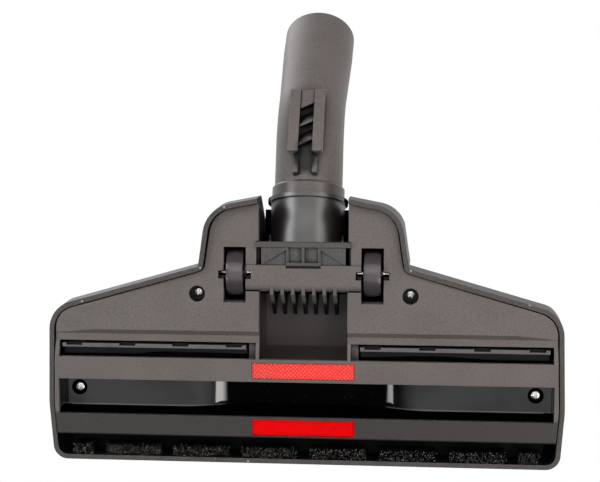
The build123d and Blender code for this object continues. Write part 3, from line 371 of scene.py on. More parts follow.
@dataclass(frozen=True)
class GrainedPlastic(Finish):
    """Moulded plastic with a fine eroded grain, its edges painted paler partly as wear and partly as
    highlight, and painted shade in its recesses.

    Attributes:
        front_shade_tone: A darker tone painted ahead of front_from along Y as painted shade.
        shade: The darkest cloud's share of the tone.
        shut_in, in_open: The shares of open sky at which a place gets full painted shade or none.
        deep_from, deep_run: The height above which painted shade sets in, and over how much.
        shell, wall: Whether inward faces get painted shade, and how far in front of them the origin is.
        pale_spots, shadows, sinks: The middles of small pale spots, of painted shadows and of screw sinks
            painted dark as shade.
    """

    tone: Colour = srgb(98, 93, 91)
    # The pale colour of grain flecks, of edges painted paler as wear and as painted highlight, and of small
    # pale spots.
    rubbed_and_highlight: Colour = srgb(158, 152, 148)
    # The dark colour of the fine grain, and of all painted shade and painted shadows.
    grime_and_shade: Colour = srgb(7, 7, 8)
    # A darker tone painted ahead of front_from as painted shade.
    front_shade_tone: Colour | None = None
    front_from: float = -24.0 * MM
    front_run: float = 2.0 * MM
    cloud: float = 26.0 * MM
    shade: float = 0.9
    grain: float = 0.45 * MM
    coarser: float = 2.2
    speck: float = 0.8 * MM
    relief: float = 0.05 * MM
    gloss: float = 0.5
    shine: float = 0.3
    edge_radius: float = 0.45 * MM
    # How much the edges are painted paler, partly as wear and partly as painted highlight.
    wear_and_highlight: float = 0.4
    wear_and_highlight_patch: float = 4.0 * MM
    recess: float = 6.0 * MM
    shut_in: float = 0.25
    in_open: float = 0.92
    deep_from: float = 1.0
    deep_run: float = 5.0 * MM
    shell: bool = False
    wall: Pair = (8.0 * MM, 16.0 * MM)
    pale_spots: tuple[Point, ...] = ()
    pale_spot: float = 0.8 * MM
    shadows: tuple[Point, ...] = ()
    shadow: float = 8.5 * MM
    shadow_share: float = 0.95
    sinks: tuple[Pair, ...] = ()
    sink_radius: float = 4.3 * MM

    def build(self) -> Material:
        """Makes the material: tone clouds, grain relief, specks, edges painted paler as wear and highlight,
        pale spots, and painted shade and shadows.
        """
        g = SurfaceGraph(self.name)
        fine = g.noise(self.grain, 2.0)
        coarse = g.noise(self.grain * self.coarser, 2.0)
        cloud = g.noise(self.cloud, 3.0)
        speck = g.span(g.noise(self.speck, 1.0), 0.7, 0.75)
        dark = tuple(c * self.shade for c in self.tone[:3]) + (1.0,)
        tone = g.blend(g.span(cloud, 0.35, 0.65), dark, self.tone)
        fleck = g.span(coarse, 0.35, 0.6) * 0.1 + speck * 0.15
        # Painted shade: ahead of front_from the tone is darker and the flecks fewer.
        if self.front_shade_tone:
            ahead = 1 - g.span(g.axis("Y"), self.front_from - self.front_run, self.front_from)
            tone = g.blend(ahead, tone, self.front_shade_tone)
            fleck = fleck * (1 - ahead * 0.6)
        tone = g.blend(fleck, tone, self.rubbed_and_highlight)
        tone = g.blend(g.span(fine, 0.55, 0.4) * 0.14, tone, self.grime_and_shade)
        # Edges painted paler, partly as wear and partly as painted highlight, and small pale spots.
        paler_edge = g.edge(self.edge_radius) * g.span(g.noise(self.wear_and_highlight_patch, 3.0), 0.4, 0.6)
        spotted = g.near(g.place, self.pale_spots, self.pale_spot / 2, self.pale_spot)
        tone = g.blend(paler_edge * self.wear_and_highlight + spotted, tone, self.rubbed_and_highlight)
        # Painted shade: recesses, screw sinks, places above deep_from, painted shadows and inward faces turn
        # to the dark colour.
        clear = g.open_air(self.recess, self.shut_in, self.in_open)
        hidden = (1 - clear).most(g.pits(self.sinks, self.sink_radius))
        hidden = hidden.most(g.span(g.axis("Z"), self.deep_from, self.deep_from + self.deep_run))
        if self.shadows:
            shaded = g.near(g.place, self.shadows, self.shadow / 2, self.shadow) * self.shadow_share
            hidden = hidden.most(shaded.least(self.shadow_share))
        if self.shell:
            hidden = hidden.most(g.span(g.facing(g.place) * -1.0, *self.wall))
        tone = g.blend(hidden, tone, self.grime_and_shade)
        rough = self.gloss + (coarse - 0.5) * 0.25
        normal = g.bump(fine * 0.6 + coarse * 0.4, self.relief, g.soft_normal(self.edge_radius))
        return g.finish(base_color=tone, roughness=rough, normal=normal, specular_ior_level=self.shine)


@dataclass(frozen=True)
class PolishedPlastic(Finish):
    """Smooth dark plastic under a clear gloss, with dust, hairline scratches, edges painted paler as
    highlight, and parts painted black as shade.

    Attributes:
        dull_half: The half width of a middle without gloss.
        dull_behind: Where that middle ends along Y; throat_tone is the tone behind it.
        painted_shade_beyond: The half width beyond which the piece is painted black as shade.
        front_edge: Where a band painted paler as highlight along Y borders on a part painted black as shade.
    """

    tone: Colour = srgb(11, 11, 12)
    # The colour of dust, also used for the painted highlights along edges and before the front edge.
    dust: Colour = srgb(120, 112, 106)
    gloss: float = 0.5
    clear: float = 0.05
    ior: float = 1.5
    dull_half: float = 0.0
    dull_behind: float = -6.0 * MM
    painted_shade_beyond: float = 1.0
    throat_tone: Colour | None = None
    throat_dulled: float = 0.65
    front_edge: float = -1.0
    brink: float = 0.6 * MM
    sinks: tuple[Pair, ...] = ()
    sink_radius: float = 4.3 * MM
    edge_radius: float = 0.5 * MM
    wave: float = 14.0 * MM
    relief: float = 0.1 * MM
    scratch: float = 0.5 * MM
    dust_grain: float = 0.7 * MM
    dust_patch: float = 12.0 * MM
    haze_patch: float = 34.0 * MM
    hazed: float = 0.38

    def build(self) -> Material:
        """Makes the material: a deep tone, faint waviness, dust, painted highlights and painted black shade,
        and a gloss that the middle lacks.
        """
        g = SurfaceGraph(self.name)
        wavy = g.noise(self.wave, 2.0)
        scratch = g.span(g.noise(self.scratch, 3.0, (30.0, 2.0, 2.0)), 0.62, 0.72)
        dust = g.span(g.noise(self.dust_grain, 2.0), 0.66, 0.74)
        dust = dust * g.span(g.noise(self.dust_patch, 2.0), 0.45, 0.65)
        # Dust, and edges painted paler in the dust colour as painted highlight.
        tone = g.blend(dust * 0.3 + g.edge(self.edge_radius) * 0.3, self.tone, self.dust)
        rough = self.gloss + scratch * 0.12 + dust * 0.3
        across, along = g.axis("X"), g.axis("Y")
        across = across.most(across * -1.0)
        outside = g.span(across, self.dull_half - 3 * MM, self.dull_half + MM)
        behind = g.span(along, self.dull_behind - MM, self.dull_behind + MM)
        # Painted shade: beyond this half width the piece is painted black.
        beyond = g.span(across, self.painted_shade_beyond, self.painted_shade_beyond + self.brink)
        haze = g.span(g.noise(self.haze_patch, 2.0), 0.36, 0.64)
        coat = outside.most(behind) * (1 - self.hazed + haze * self.hazed) * (1 - dust * 0.6)
        if self.throat_tone:
            tone = g.blend(behind, tone, self.throat_tone)
            coat = coat * (1 - behind * self.throat_dulled)
        # Painted shade: black ahead of the front edge; painted highlight: a paler band just behind it.
        ahead = 1 - g.span(along, self.front_edge - self.brink, self.front_edge - self.brink / 3)
        brink = 1 - g.span(along, self.front_edge, self.front_edge + self.brink)
        tone = g.blend(brink * (1 - ahead) * outside * 0.5, tone, self.dust)
        # Painted shade: the sides beyond the half width, the screw sinks and the front wall turn black.
        hidden = beyond.most(g.pits(self.sinks, self.sink_radius)).most(ahead)
        tone = g.blend(hidden, tone, BLACK)
        coat = coat * (1 - hidden)
        normal = g.bump(wavy, self.relief, g.soft_normal(self.edge_radius))
        return g.finish(
            base_color=tone, roughness=rough, normal=normal, specular_ior_level=0.0,
            coat_weight=coat, coat_roughness=self.clear, coat_ior=self.ior,
        )


@dataclass(frozen=True)
class WheelPlastic(Finish):
    """Hard wheel plastic, scuffed round the tread."""

    tone: Colour = srgb(68, 62, 66)
    scuffed: Colour = srgb(96, 92, 92)
    gloss: float = 0.22
    shine: float = 0.6
    scuff: float = 1.1 * MM
    grain: float = 0.4 * MM
    relief: float = 0.02 * MM
    edge_radius: float = 0.5 * MM

    def build(self) -> Material:
        """Makes the material: a plain tone with fine tread scuffs."""
        g = SurfaceGraph(self.name)
        scuff = g.span(g.noise(self.scuff, 3.0, (6.0, 1.0, 1.0)), 0.55, 0.75)
        tone = g.blend(scuff * 0.15 + g.edge(self.edge_radius) * 0.2, self.tone, self.scuffed)
        normal = g.bump(g.noise(self.grain), self.relief, g.soft_normal(self.edge_radius))
        rough = self.gloss + scuff * 0.15
        return g.finish(base_color=tone, roughness=rough, normal=normal, specular_ior_level=self.shine)


@dataclass(frozen=True)
class Steel(Finish):
    """Plated steel with fine turning marks."""

    tone: Colour = srgb(205, 204, 200)
    tarnish: Colour = srgb(120, 114, 106)
    rough: float = 0.24
    patch: float = 1.6 * MM
    mark: float = 0.15 * MM
    relief: float = 0.01 * MM
    edge_radius: float = 0.25 * MM

    def build(self) -> Material:
        """Makes the material: bright metal, dulled in patches, with turning marks."""
        g = SurfaceGraph(self.name)
        patch = g.span(g.noise(self.patch, 3.0), 0.45, 0.7)
        mark = g.noise(self.mark, 2.0, (1.0, 1.0, 8.0))
        tone = g.blend(patch * 0.5, self.tone, self.tarnish)
        normal = g.bump(mark, self.relief, g.soft_normal(self.edge_radius))
        return g.finish(base_color=tone, metallic=1.0, roughness=self.rough + patch * 0.15, normal=normal)


@dataclass(frozen=True)
class Rubber(Finish):
    """Dark rubber, paler grey near the edge that drags on the floor, and along its edges."""

    tone: Colour = srgb(13, 13, 15)
    paler_edge: Colour = srgb(102, 100, 103)
    paler_from: float = 0.7 * MM
    paler_to: float = 1.2 * MM
    rub: float = 1.2 * MM
    edge_width: float = 0.35 * MM
    grain: float = 0.3 * MM
    relief: float = 0.02 * MM
    edge_radius: float = 0.3 * MM
    shine: float = 0.2

    def build(self) -> Material:
        """Makes the material: a dull dark tone, paler towards its lower edge and along its edges."""
        g = SurfaceGraph(self.name)
        low = 1 - g.span(g.axis("Z"), self.paler_from, self.paler_to)
        rub = g.noise(self.rub, 3.0, (5.0, 1.0, 1.0))
        share = (low * (0.6 + rub * 0.6) + g.edge(self.edge_width) * 0.3).least(1.0)
        tone = g.blend(share, self.tone, self.paler_edge)
        normal = g.bump(g.noise(self.grain), self.relief, g.soft_normal(self.edge_radius))
        rough = 0.5 + rub * 0.2
        return g.finish(base_color=tone, roughness=rough, normal=normal, specular_ior_level=self.shine)


@dataclass(frozen=True)
class Fibre(Finish):
    """Fibres that are dark at the root and paler at the tip, each a little different."""

    root: Colour = srgb(4, 4, 5)
    stem: Colour = srgb(19, 19, 20)
    tip: Colour = srgb(226, 224, 222)
    tip_from: float = 0.9
    gloss: float = 0.45
    shine: float = 0.15

    def build(self) -> Material:
        """Makes the material from the strands' own height and shade attributes."""
        g = SurfaceGraph(self.name)
        height, shade = g.attribute("height"), g.attribute("shade")
        tone = g.blend(g.span(height, 0.1, 0.8), self.root, self.stem)
        tone = g.blend(g.span(height, self.tip_from, 1.0) * shade, tone, self.tip)
        rough = self.gloss + shade * 0.2
        return g.finish(base_color=tone, roughness=rough, specular_ior_level=self.shine)


RIM_HEIGHT = 1.2 * MM
# Where the rim is painted with small pale spots.
RIM_PALE_SPOTS = tuple(
    (x * MM, y * MM, RIM_HEIGHT)
    for x, y in ((42.4, 89.3), (121.2, 36.9), (55.8, 56.0), (-57.9, 55.8), (-121.1, 38.3), (30.4, -50.9))
)
HOOK_SHADOWS = ((0.7 * MM, 112.5 * MM, 24.1 * MM), (0.9 * MM, 118.0 * MM, 26.2 * MM))
REAR_SINKS = ((57.8 * MM, 41.7 * MM), (-57.8 * MM, 41.7 * MM))
FRONT_SINKS = ((125.7 * MM, -13.2 * MM), (-125.7 * MM, -13.2 * MM))


class Look(Enum):
    """The finishes of the brush head."""

    # Housing: painted shade on its inward faces and in its recesses, and small pale spots on the rim.
    HOUSING = GrainedPlastic(
        "housing_grain", tone=srgb(66, 63, 62), recess=3.0 * MM, shell=True, pale_spots=RIM_PALE_SPOTS
    )
    # Sole: a darker front tone as painted shade, and painted shade above 7 mm and in the rear screw sinks.
    SOLE = GrainedPlastic(
        "sole_grain", tone=srgb(99, 93, 91), front_shade_tone=srgb(50, 47, 47), deep_from=7.0 * MM,
        sinks=REAR_SINKS,
    )
    # Elbow: edges painted much paler, partly wear and partly painted highlight; painted shade in its
    # recesses and painted shadows on the hook.
    ELBOW = GrainedPlastic(
        "elbow_grain", tone=srgb(105, 99, 97), gloss=0.46, grain=0.6 * MM, wear_and_highlight=0.9,
        recess=9.0 * MM, shut_in=0.62, in_open=0.98, shadows=HOOK_SHADOWS,
    )
    COLLAR = GrainedPlastic("collar_grain", tone=srgb(78, 71, 68), gloss=0.38, shine=0.5, recess=2.0 * MM)
    CLIP = GrainedPlastic("clip_grain", tone=srgb(74, 74, 73), recess=5.0 * MM)
    PEDAL = GrainedPlastic("pedal_grain", tone=srgb(80, 76, 75), recess=3.0 * MM)
    # Carriage: its own dark plastic, painted near black and with little shine as painted shade between the
    # bristle groups.
    CARRIAGE = GrainedPlastic("carriage_grain", tone=srgb(6, 6, 7), rubbed_and_highlight=srgb(16, 16, 16), shine=0.05)
    # Channel: a paler painted highlight band before the front edge, black painted shade ahead of it and in
    # the front screw sinks.
    CHANNEL = PolishedPlastic(
        "channel_polish", dull_half=46.0 * MM, throat_tone=srgb(58, 52, 52), front_edge=-22.6 * MM,
        sinks=FRONT_SINKS,
    )
    # Neck: painted black as shade beyond a half width of 20.2 mm.
    NECK = PolishedPlastic("neck_polish", tone=srgb(36, 33, 32), clear=0.36, ior=2.0, painted_shade_beyond=20.2 * MM)
    WHEEL = WheelPlastic("wheel_tread")
    STEEL = Steel("plated_steel")
    AXLE = Steel("axle_steel", tone=srgb(250, 249, 246), rough=0.08)
    RUBBER = Rubber("lip_rubber")
    SEAL = Rubber("seal_rubber", paler_from=-2.0 * MM, paler_to=-1.0 * MM)
    BRISTLE = Fibre("bristle_fibre")
    FRONT_PILE = Fibre(
        "front_pile", root=srgb(250, 0, 8), stem=srgb(255, 0, 16), tip=srgb(255, 22, 34), tip_from=0.4
    )
    # Rear pile: tufts in a lattice; their paler stems and near-white tips are painted sheen on the same red
    # pile as the front.
    REAR_PILE = Fibre(
        "rear_pile", root=srgb(255, 10, 12), stem=srgb(255, 30, 28), tip=srgb(255, 226, 212), tip_from=0.15
    )


NODE_LOOKS = {
    "upper_housing": Look.HOUSING,
    "sole_plate": Look.SOLE,
    "air_channel": Look.CHANNEL,
    "pivot_clip": Look.CLIP,
    "wheel_left": Look.WHEEL,
    "wheel_right": Look.WHEEL,
    "axle_left": Look.AXLE,
    "axle_right": Look.AXLE,
    "neck": Look.NECK,
    "elbow": Look.ELBOW,
    "swivel_collar": Look.COLLAR,
    "swivel_seal": Look.SEAL,
    "brush_carriage": Look.CARRIAGE,
    "foot_pedal": Look.PEDAL,
    "pedal_pin": Look.STEEL,
    "detent_spring": Look.STEEL,
}


class Bench:
    """Modelling steps that shape one new piece at a time."""

    @staticmethod
    def clear() -> None:
        """Leaves edit mode and deselects everything."""
        if bpy.context.object and bpy.context.object.mode != "OBJECT":
            bpy.ops.object.mode_set(mode="OBJECT")
        bpy.ops.object.select_all(action="DESELECT")

    @staticmethod
    def name(name: str) -> Piece:
        """Names the active piece and its mesh, and settles its place into the mesh.

        Args:
            name: The piece's name.

        Returns:
            The piece.
        """
        piece = bpy.context.object
        piece.name = piece.data.name = name
        bpy.ops.object.transform_apply(location=True, rotation=True, scale=True)
        return piece

    @classmethod
    def block(cls, name: str, low: Vector, high: Vector) -> Piece:
        """Starts a piece as a block between two corners.

        Args:
            name: The piece's name.
            low: The lowest corner.
            high: The highest corner.

        Returns:
            The block, selected and active.
        """
        cls.clear()
        bpy.ops.mesh.primitive_cube_add(size=1, location=(low + high) / 2, scale=high - low)
        return cls.name(name)

    @staticmethod
    def pick(piece: Piece, test: Callable[[Vector, Vector], bool]) -> None:
        """Enters edit mode with only the faces that pass a test selected.

        Args:
            piece: The active piece.
            test: Says from a face's middle and normal whether it is taken.
        """
        bpy.ops.object.mode_set(mode="EDIT")
        bpy.ops.mesh.select_mode(type="FACE")
        bpy.ops.mesh.select_all(action="DESELECT")
        shape = bmesh.from_edit_mesh(piece.data)
        for face in shape.faces:
            face.select_set(test(face.calc_center_median(), face.normal))
        bmesh.update_edit_mesh(piece.data)

    @staticmethod
    def slice(place: Point, normal: Point) -> None:
        """Cuts the whole active piece along a plane, in edit mode.

        Args:
            place: A point of the plane.
            normal: The plane's normal.
        """
        bpy.ops.mesh.select_all(action="SELECT")
        bpy.ops.mesh.bisect(plane_co=place, plane_no=normal)

    @staticmethod
    def apply(piece: Piece, kind: str, **settings: Any) -> None:
        """Adds a modifier to the active piece and applies it.

        Args:
            piece: The active piece.
            kind: The modifier's type.
            **settings: The modifier's settings.
        """
        bpy.ops.object.mode_set(mode="OBJECT")
        modifier = piece.modifiers.new(kind.lower(), kind)
        for key, setting in settings.items():
            setattr(modifier, key, setting)
        bpy.ops.object.modifier_apply(modifier=modifier.name)

    @classmethod
    def join(cls, pieces: Sequence[Piece], name: str) -> Piece:
        """Joins pieces into one.

        Args:
            pieces: The pieces, the first of which stays.
            name: The joined piece's name.

        Returns:
            The joined piece.
        """
        cls.clear()
        for piece in pieces:
            piece.select_set(True)
        bpy.context.view_layer.objects.active = pieces[0]
        bpy.ops.object.join()
        return cls.name(name)

    @staticmethod
    def paint(mesh: bpy.types.Mesh, heights: list[float], shades: list[float]) -> None:
        """Gives every point of a mesh its height and shade attributes."""
        for label, numbers in (("height", heights), ("shade", shades)):
            mesh.attributes.new(label, "FLOAT", "POINT").data.foreach_set("value", numbers)

    @staticmethod
    def drop(piece: Piece) -> None:
        """Removes a helper piece."""
        bpy.data.objects.remove(piece, do_unlink=True)

    @classmethod
    def cut(cls, piece: Piece, cutter: Piece) -> None:
        """Takes a helper's shape away from a piece, and the helper with it.

        Args:
            piece: The piece that is cut, left active.
            cutter: The helper.
        """
        cls.clear()
        bpy.context.view_layer.objects.active = piece
        piece.select_set(True)
        cls.apply(piece, "BOOLEAN", operation="DIFFERENCE", object=cutter, solver="EXACT")
        cls.drop(cutter)


def mount(piece: Piece, look: Look, body: str, node: str) -> None:
    """Dresses a piece and puts it on its body in the place of a solid.

    Args:
        piece: The modelled piece.
        look: Its finish.
        body: The body that it rides on.
        node: The solid that it stands for.
    """
    look.value.dress(piece)
    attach(piece, body)
    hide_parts(node)
    LOG.info("%s: %d faces on %s for %s", piece.name, len(piece.data.polygons), body, node)


@dataclass(frozen=True)
class Strand:
    """One planted fibre: where its root is, where its tip goes and how it curves."""

    root: Vector
    reach: Vector
    curl: Vector
    radius: float
    shade: float


class Planter:
    """Repeats one modelled fibre many times in a single mesh."""

    def __init__(self, sides: int, rings: int, taper: float) -> None:
        """Models the fibre that is repeated.

        Args:
            sides: How many sides it has.
            rings: How many lengths it is cut into.
            taper: The tip's width as a share of the root's.
        """
        Bench.clear()
        middle = (0, 0, 0.5)
        bpy.ops.mesh.primitive_cone_add(vertices=sides, radius1=1, radius2=taper, depth=1, location=middle)
        fibre = Bench.name("fibre_pattern")
        bpy.ops.object.mode_set(mode="EDIT")
        for ring in range(1, rings):
            Bench.slice((0, 0, ring / rings), (0, 0, 1))
        bpy.ops.object.mode_set(mode="OBJECT")
        self.points = [vertex.co.copy() for vertex in fibre.data.vertices]
        self.faces = [tuple(face.vertices) for face in fibre.data.polygons if face.center.z > 1e-6]
        Bench.drop(fibre)

    def plant(self, name: str, strands: Sequence[Strand]) -> Piece:
        """Makes one piece of all the strands.

        Args:
            name: The piece's name.
            strands: The strands to plant.

        Returns:
            The piece, with height and shade attributes.
        """
        points: list[Vector] = []
        faces: list[tuple[int, ...]] = []
        for strand in strands:
            start = len(points)
            across = strand.reach.orthogonal().normalized() * strand.radius
            beside = strand.reach.cross(across).normalized() * strand.radius
            for p in self.points:
                along = strand.reach * p.z + strand.curl * p.z * p.z
                points.append(strand.root + along + across * p.x + beside * p.y)
            faces.extend(tuple(start + i for i in face) for face in self.faces)
        mesh = bpy.data.meshes.new(name)
        mesh.from_pydata(points, [], faces)
        heights = [p.z for p in self.points] * len(strands)
        shades = [strand.shade for strand in strands for _ in self.points]
        Bench.paint(mesh, heights, shades)
        piece = bpy.data.objects.new(name, mesh)
        bpy.context.scene.collection.objects.link(piece)
        return piece


@dataclass
class BristleRow:
    """The row of bristle groups behind the front edge."""

    node: str = "bristle_tufts"
    body: str = "carriage"
    slot: str = "bristle"
    pitch: float = 0.62 * MM
    radius: float = 0.16 * MM
    jitter: float = 0.3 * MM
    splay: float = 0.5 * MM
    splay_spread: float = 0.9
    curl: float = 0.35 * MM
    curl_spread: float = 0.5
    uneven: float = 1.2 * MM
    seed: int = 11

    def groups(self) -> list[Pair]:
        """Gives where each bristle group starts and ends along X."""
        places = sorted({round(v.co.x, 6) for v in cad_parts[self.node].data.vertices})
        return list(zip(places[::2], places[1::2]))

    def strands(self) -> list[Strand]:
        """Plans every bristle, standing in the bar with its tip near the floor.

        Returns:
            The bristles of all groups.
        """
        draw = random.Random(self.seed)
        low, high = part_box(self.node)
        rows = int((high.y - low.y - 2 * self.splay) / self.pitch)
        found = []
        for start, end in self.groups():
            columns = int((end - start - 2 * self.splay) / self.pitch)
            for row in range(rows + 1):
                for column in range(columns + 1):
                    x = start + self.splay + column * self.pitch + draw.uniform(-1, 1) * self.jitter
                    y = low.y + self.splay + row * self.pitch + draw.uniform(-1, 1) * self.jitter
                    depth = high.z - low.z - draw.uniform(0, 1) ** 2 * self.uneven
                    lean = [draw.gauss(0, self.splay_spread) * self.splay for _ in range(2)]
                    bend = [draw.gauss(0, self.curl_spread) * self.curl for _ in range(2)]
                    shade = draw.uniform(0.0, 1.0) ** 3
                    root, reach = Vector((x, y, high.z)), Vector((*lean, -depth))
                    found.append(Strand(root, reach, Vector((*bend, 0)), self.radius, shade))
        return found

    def build(self) -> None:
        """Plants and dresses the bristles."""
        piece = Planter(sides=3, rings=2, taper=0.8).plant("bristle_row", self.strands())
        mount(piece, Look.BRISTLE, self.body, self.node)


@dataclass
class LintPicker:
    """A red pile strip: a backing with slanted tufts in diagonal rows."""

    node: str
    look: Look
    lean: float
    seed: int
    body: str = "head"
    slot: str = "pile"
    backing: float = 0.7 * MM
    backing_bevel: float = 0.25 * MM
    backing_height: float = 0.35
    backing_shade: float = 0.5
    border: float = 0.35 * MM
    tuft_radius: float = 0.5 * MM
    tuft_strands: int = 22
    pitch: float = 1.6 * MM
    row_pitch: float = 0.84 * MM
    row_shift: float = 0.8 * MM
    strand_radius: float = 0.085 * MM
    fan: float = 0.3
    uneven: float = 0.15 * MM
    least_shade: float = 0.8

    def strands(self, low: Vector, high: Vector) -> list[Strand]:
        """Plans the tufts' fibres.

        Args:
            low: The strip's lowest corner.
            high: The strip's highest corner.

        Returns:
            The fibres of all tufts.
        """
        draw = random.Random(self.seed)
        root_z = high.z - self.backing
        rows = int((high.y - low.y - 2 * self.border) / self.row_pitch)
        found = []
        for row in range(rows + 1):
            y = low.y + self.border + row * self.row_pitch
            x = low.x + self.border + (row * self.row_shift) % self.pitch
            while x < high.x - self.border:
                tuft_shade = draw.uniform(self.least_shade, 1.0)
                for _ in range(self.tuft_strands):
                    angle = draw.uniform(0, math.tau)
                    out = self.tuft_radius * math.sqrt(draw.uniform(0, 1))
                    root = Vector((x + out * math.cos(angle), y + out * math.sin(angle), root_z))
                    side = Vector((math.cos(angle), math.sin(angle), 0)) * out * self.fan
                    reach = side + Vector((0, self.lean, low.z - root_z + draw.uniform(0, self.uneven)))
                    root.x = min(max(root.x, low.x + self.border), high.x - self.border)
                    root.y = min(max(root.y, low.y + self.border), high.y - self.border)
                    shade = tuft_shade * draw.uniform(self.least_shade, 1.0)
                    found.append(Strand(root, reach, Vector(), self.strand_radius, shade))
                x += self.pitch
        return found

    def build(self) -> None:
        """Makes the backing, plants the pile and dresses both."""
        low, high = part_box(self.node)
        corner = Vector((low.x, low.y, high.z - self.backing))
        backing = Bench.block(self.node + "_backing", corner, high)
        Bench.apply(backing, "BEVEL", width=self.backing_bevel, segments=2)
        count = len(backing.data.vertices)
        Bench.paint(backing.data, [self.backing_height] * count, [self.backing_shade] * count)
        planter = Planter(sides=4, rings=1, taper=0.55)
        pile = planter.plant(self.node + "_pile", self.strands(low, high))
        piece = Bench.join([pile, backing], self.node + "_strip")
        mount(piece, self.look, self.body, self.node)


@dataclass
class RubberLip:
    """A notched rubber lip, with a wing whose front edge has taken a wave."""

    node: str
    wave: Sequence[Pair]
    body: str = "carriage"
    slot: str = "rubber"
    blade: float = 2.2 * MM
    wing_low: float = 5.6 * MM
    wing: float = 1.2 * MM
    notches: int = 4
    notch: float = 8.8 * MM
    notch_inset: float = 6.6 * MM
    notch_depth: float = 1.2 * MM
    notch_rise: float = 3.0 * MM
    stations: int = 48
    bevel: float = 0.2 * MM

    def retreat(self, share: float) -> float:
        """Says how far the wing's front edge stands back from its straight line.

        Args:
            share: The place along the lip, 0 at the middle of the head and 1 at its side.

        Returns:
            The distance in metres.
        """
        for (start, first), (end, second) in zip(self.wave, self.wave[1:]):
            if share <= end:
                break
        part = min(max((share - start) / (end - start), 0), 1)
        return first + (second - first) * (1 - math.cos(math.pi * part)) / 2

    def cut_notches(self, lip: Piece, low: Vector, high: Vector) -> None:
        """Cuts the notches along the back of the lip's lower edge.

        Args:
            lip: The lip.
            low: Its lowest corner.
            high: Its highest corner.
        """
        pitch = (high.x - low.x - 2 * self.notch_inset) / (self.notches - 1)
        cutters = []
        for index in range(self.notches):
            middle = low.x + self.notch_inset + pitch * index
            corner = Vector((middle - self.notch / 2, high.y - self.notch_depth, low.z - MM))
            far = Vector((middle + self.notch / 2, high.y + MM, low.z + self.notch_rise))
            cutters.append(Bench.block("notch", corner, far))
        Bench.cut(lip, Bench.join(cutters, "notches"))

    def build(self) -> None:
        """Models, waves, notches and dresses the lip."""
        low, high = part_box(self.node)
        front = high.y - self.blade
        lip = Bench.block(self.node + "_rubber", Vector((low.x, front, low.z)), high)
        bpy.ops.object.mode_set(mode="EDIT")
        for height in (self.wing_low, self.wing_low + self.wing):
            Bench.slice((0, 0, height), (0, 0, 1))
        for station in range(1, self.stations):
            Bench.slice((low.x + (high.x - low.x) * station / self.stations, 0, 0), (1, 0, 0))
        middle = self.wing_low + self.wing / 2
        Bench.pick(lip, lambda at, normal: normal.y < -0.5 and abs(at.z - middle) < self.wing / 2)
        bpy.ops.mesh.extrude_region_move(TRANSFORM_OT_translate={"value": (0, low.y - front, 0)})
        shape = bmesh.from_edit_mesh(lip.data)
        for vertex in shape.verts:
            if vertex.co.y < low.y + self.wing / 4:
                share = (vertex.co.x - low.x) / (high.x - low.x)
                vertex.co.y += self.retreat(share if high.x > 0 else 1 - share)
        bmesh.update_edit_mesh(lip.data)
        self.cut_notches(lip, low, high)
        Bench.apply(lip, "BEVEL", width=self.bevel, segments=2, limit_method="ANGLE")
        mount(lip, Look.RUBBER, self.body, self.node)


@dataclass
class Screws:
    """The four cross-head screws in the sole."""

    node: str = "housing_screws"
    body: str = "head"
    slot: str = "steel"
    head_radius: float = 2.4 * MM
    head: float = 1.6 * MM
    dome: float = 0.5 * MM
    cross: float = 0.7 * MM
    cross_length: float = 2.8 * MM
    cross_depth: float = 0.9 * MM
    turns: tuple[float, ...] = (0.35, 1.1, 0.75, 0.1)
    sides: int = 40
    dome_steps: tuple[float, ...] = (0.4, 0.35, 0.25)
    dome_inset: float = 0.24
    shank_inset: float = 0.48
    bevel: float = 0.12 * MM
    smooth_angle: float = 35.0
    rear_from: float = 15.0 * MM

    def corners(self) -> list[tuple[Vector, Vector]]:
        """Gives the lowest and highest corner of each screw's solid."""
        groups: dict[tuple[bool, bool], list[Vector]] = {}
        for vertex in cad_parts[self.node].data.vertices:
            groups.setdefault((vertex.co.x > 0, vertex.co.y > self.rear_from), []).append(vertex.co)
        found = []
        for points in groups.values():
            low = Vector(min(p[i] for p in points) for i in range(3))
            high = Vector(max(p[i] for p in points) for i in range(3))
            found.append((low, high))
        return found

    def pattern(self, length: float) -> Piece:
        """Models one screw at the origin, with the top of its head down at z 0.

        Args:
            length: The screw's length with its head.

        Returns:
            The screw.
        """
        Bench.clear()
        bpy.ops.mesh.primitive_cylinder_add(
            vertices=self.sides, radius=self.head_radius, depth=self.head - self.dome,
            location=(0, 0, (self.head + self.dome) / 2),
        )
        screw = Bench.name("screw")
        Bench.pick(screw, lambda at, normal: normal.z < -0.5)
        for share in self.dome_steps:
            bpy.ops.mesh.inset(thickness=self.head_radius * self.dome_inset)
            bpy.ops.transform.translate(value=(0, 0, -self.dome * share))
        Bench.pick(screw, lambda at, normal: normal.z > 0.5)
        bpy.ops.mesh.inset(thickness=self.head_radius * self.shank_inset)
        bpy.ops.mesh.extrude_region_move(TRANSFORM_OT_translate={"value": (0, 0, length - self.head)})
        half = Vector((self.cross_length / 2, self.cross / 2, self.cross_depth))
        bars = [Bench.block("cross", -far, far) for far in (half, half.yxz)]
        for bar in bars:
            Bench.cut(screw, bar)
        Bench.apply(screw, "BEVEL", width=self.bevel, segments=2, limit_method="ANGLE")
        bpy.ops.object.shade_smooth_by_angle(angle=math.radians(self.smooth_angle))
        return screw

    def build(self) -> None:
        """Models one screw, copies it to the four places and dresses them as one piece."""
        places = self.corners()
        pattern = self.pattern(places[0][1].z - places[0][0].z)
        copies = []
        for (low, high), turn in zip(places, self.turns):
            copy = pattern.copy()
            copy.data = pattern.data.copy()
            middle = (low + high) / 2
            there = Matrix.Translation((middle.x, middle.y, low.z))
            copy.data.transform(there @ Matrix.Rotation(turn, 4, "Z"))
            bpy.context.scene.collection.objects.link(copy)
            copies.append(copy)
        Bench.drop(pattern)
        piece = Bench.join(copies, "cross_head_screws")
        mount(piece, Look.STEEL, self.body, self.node)


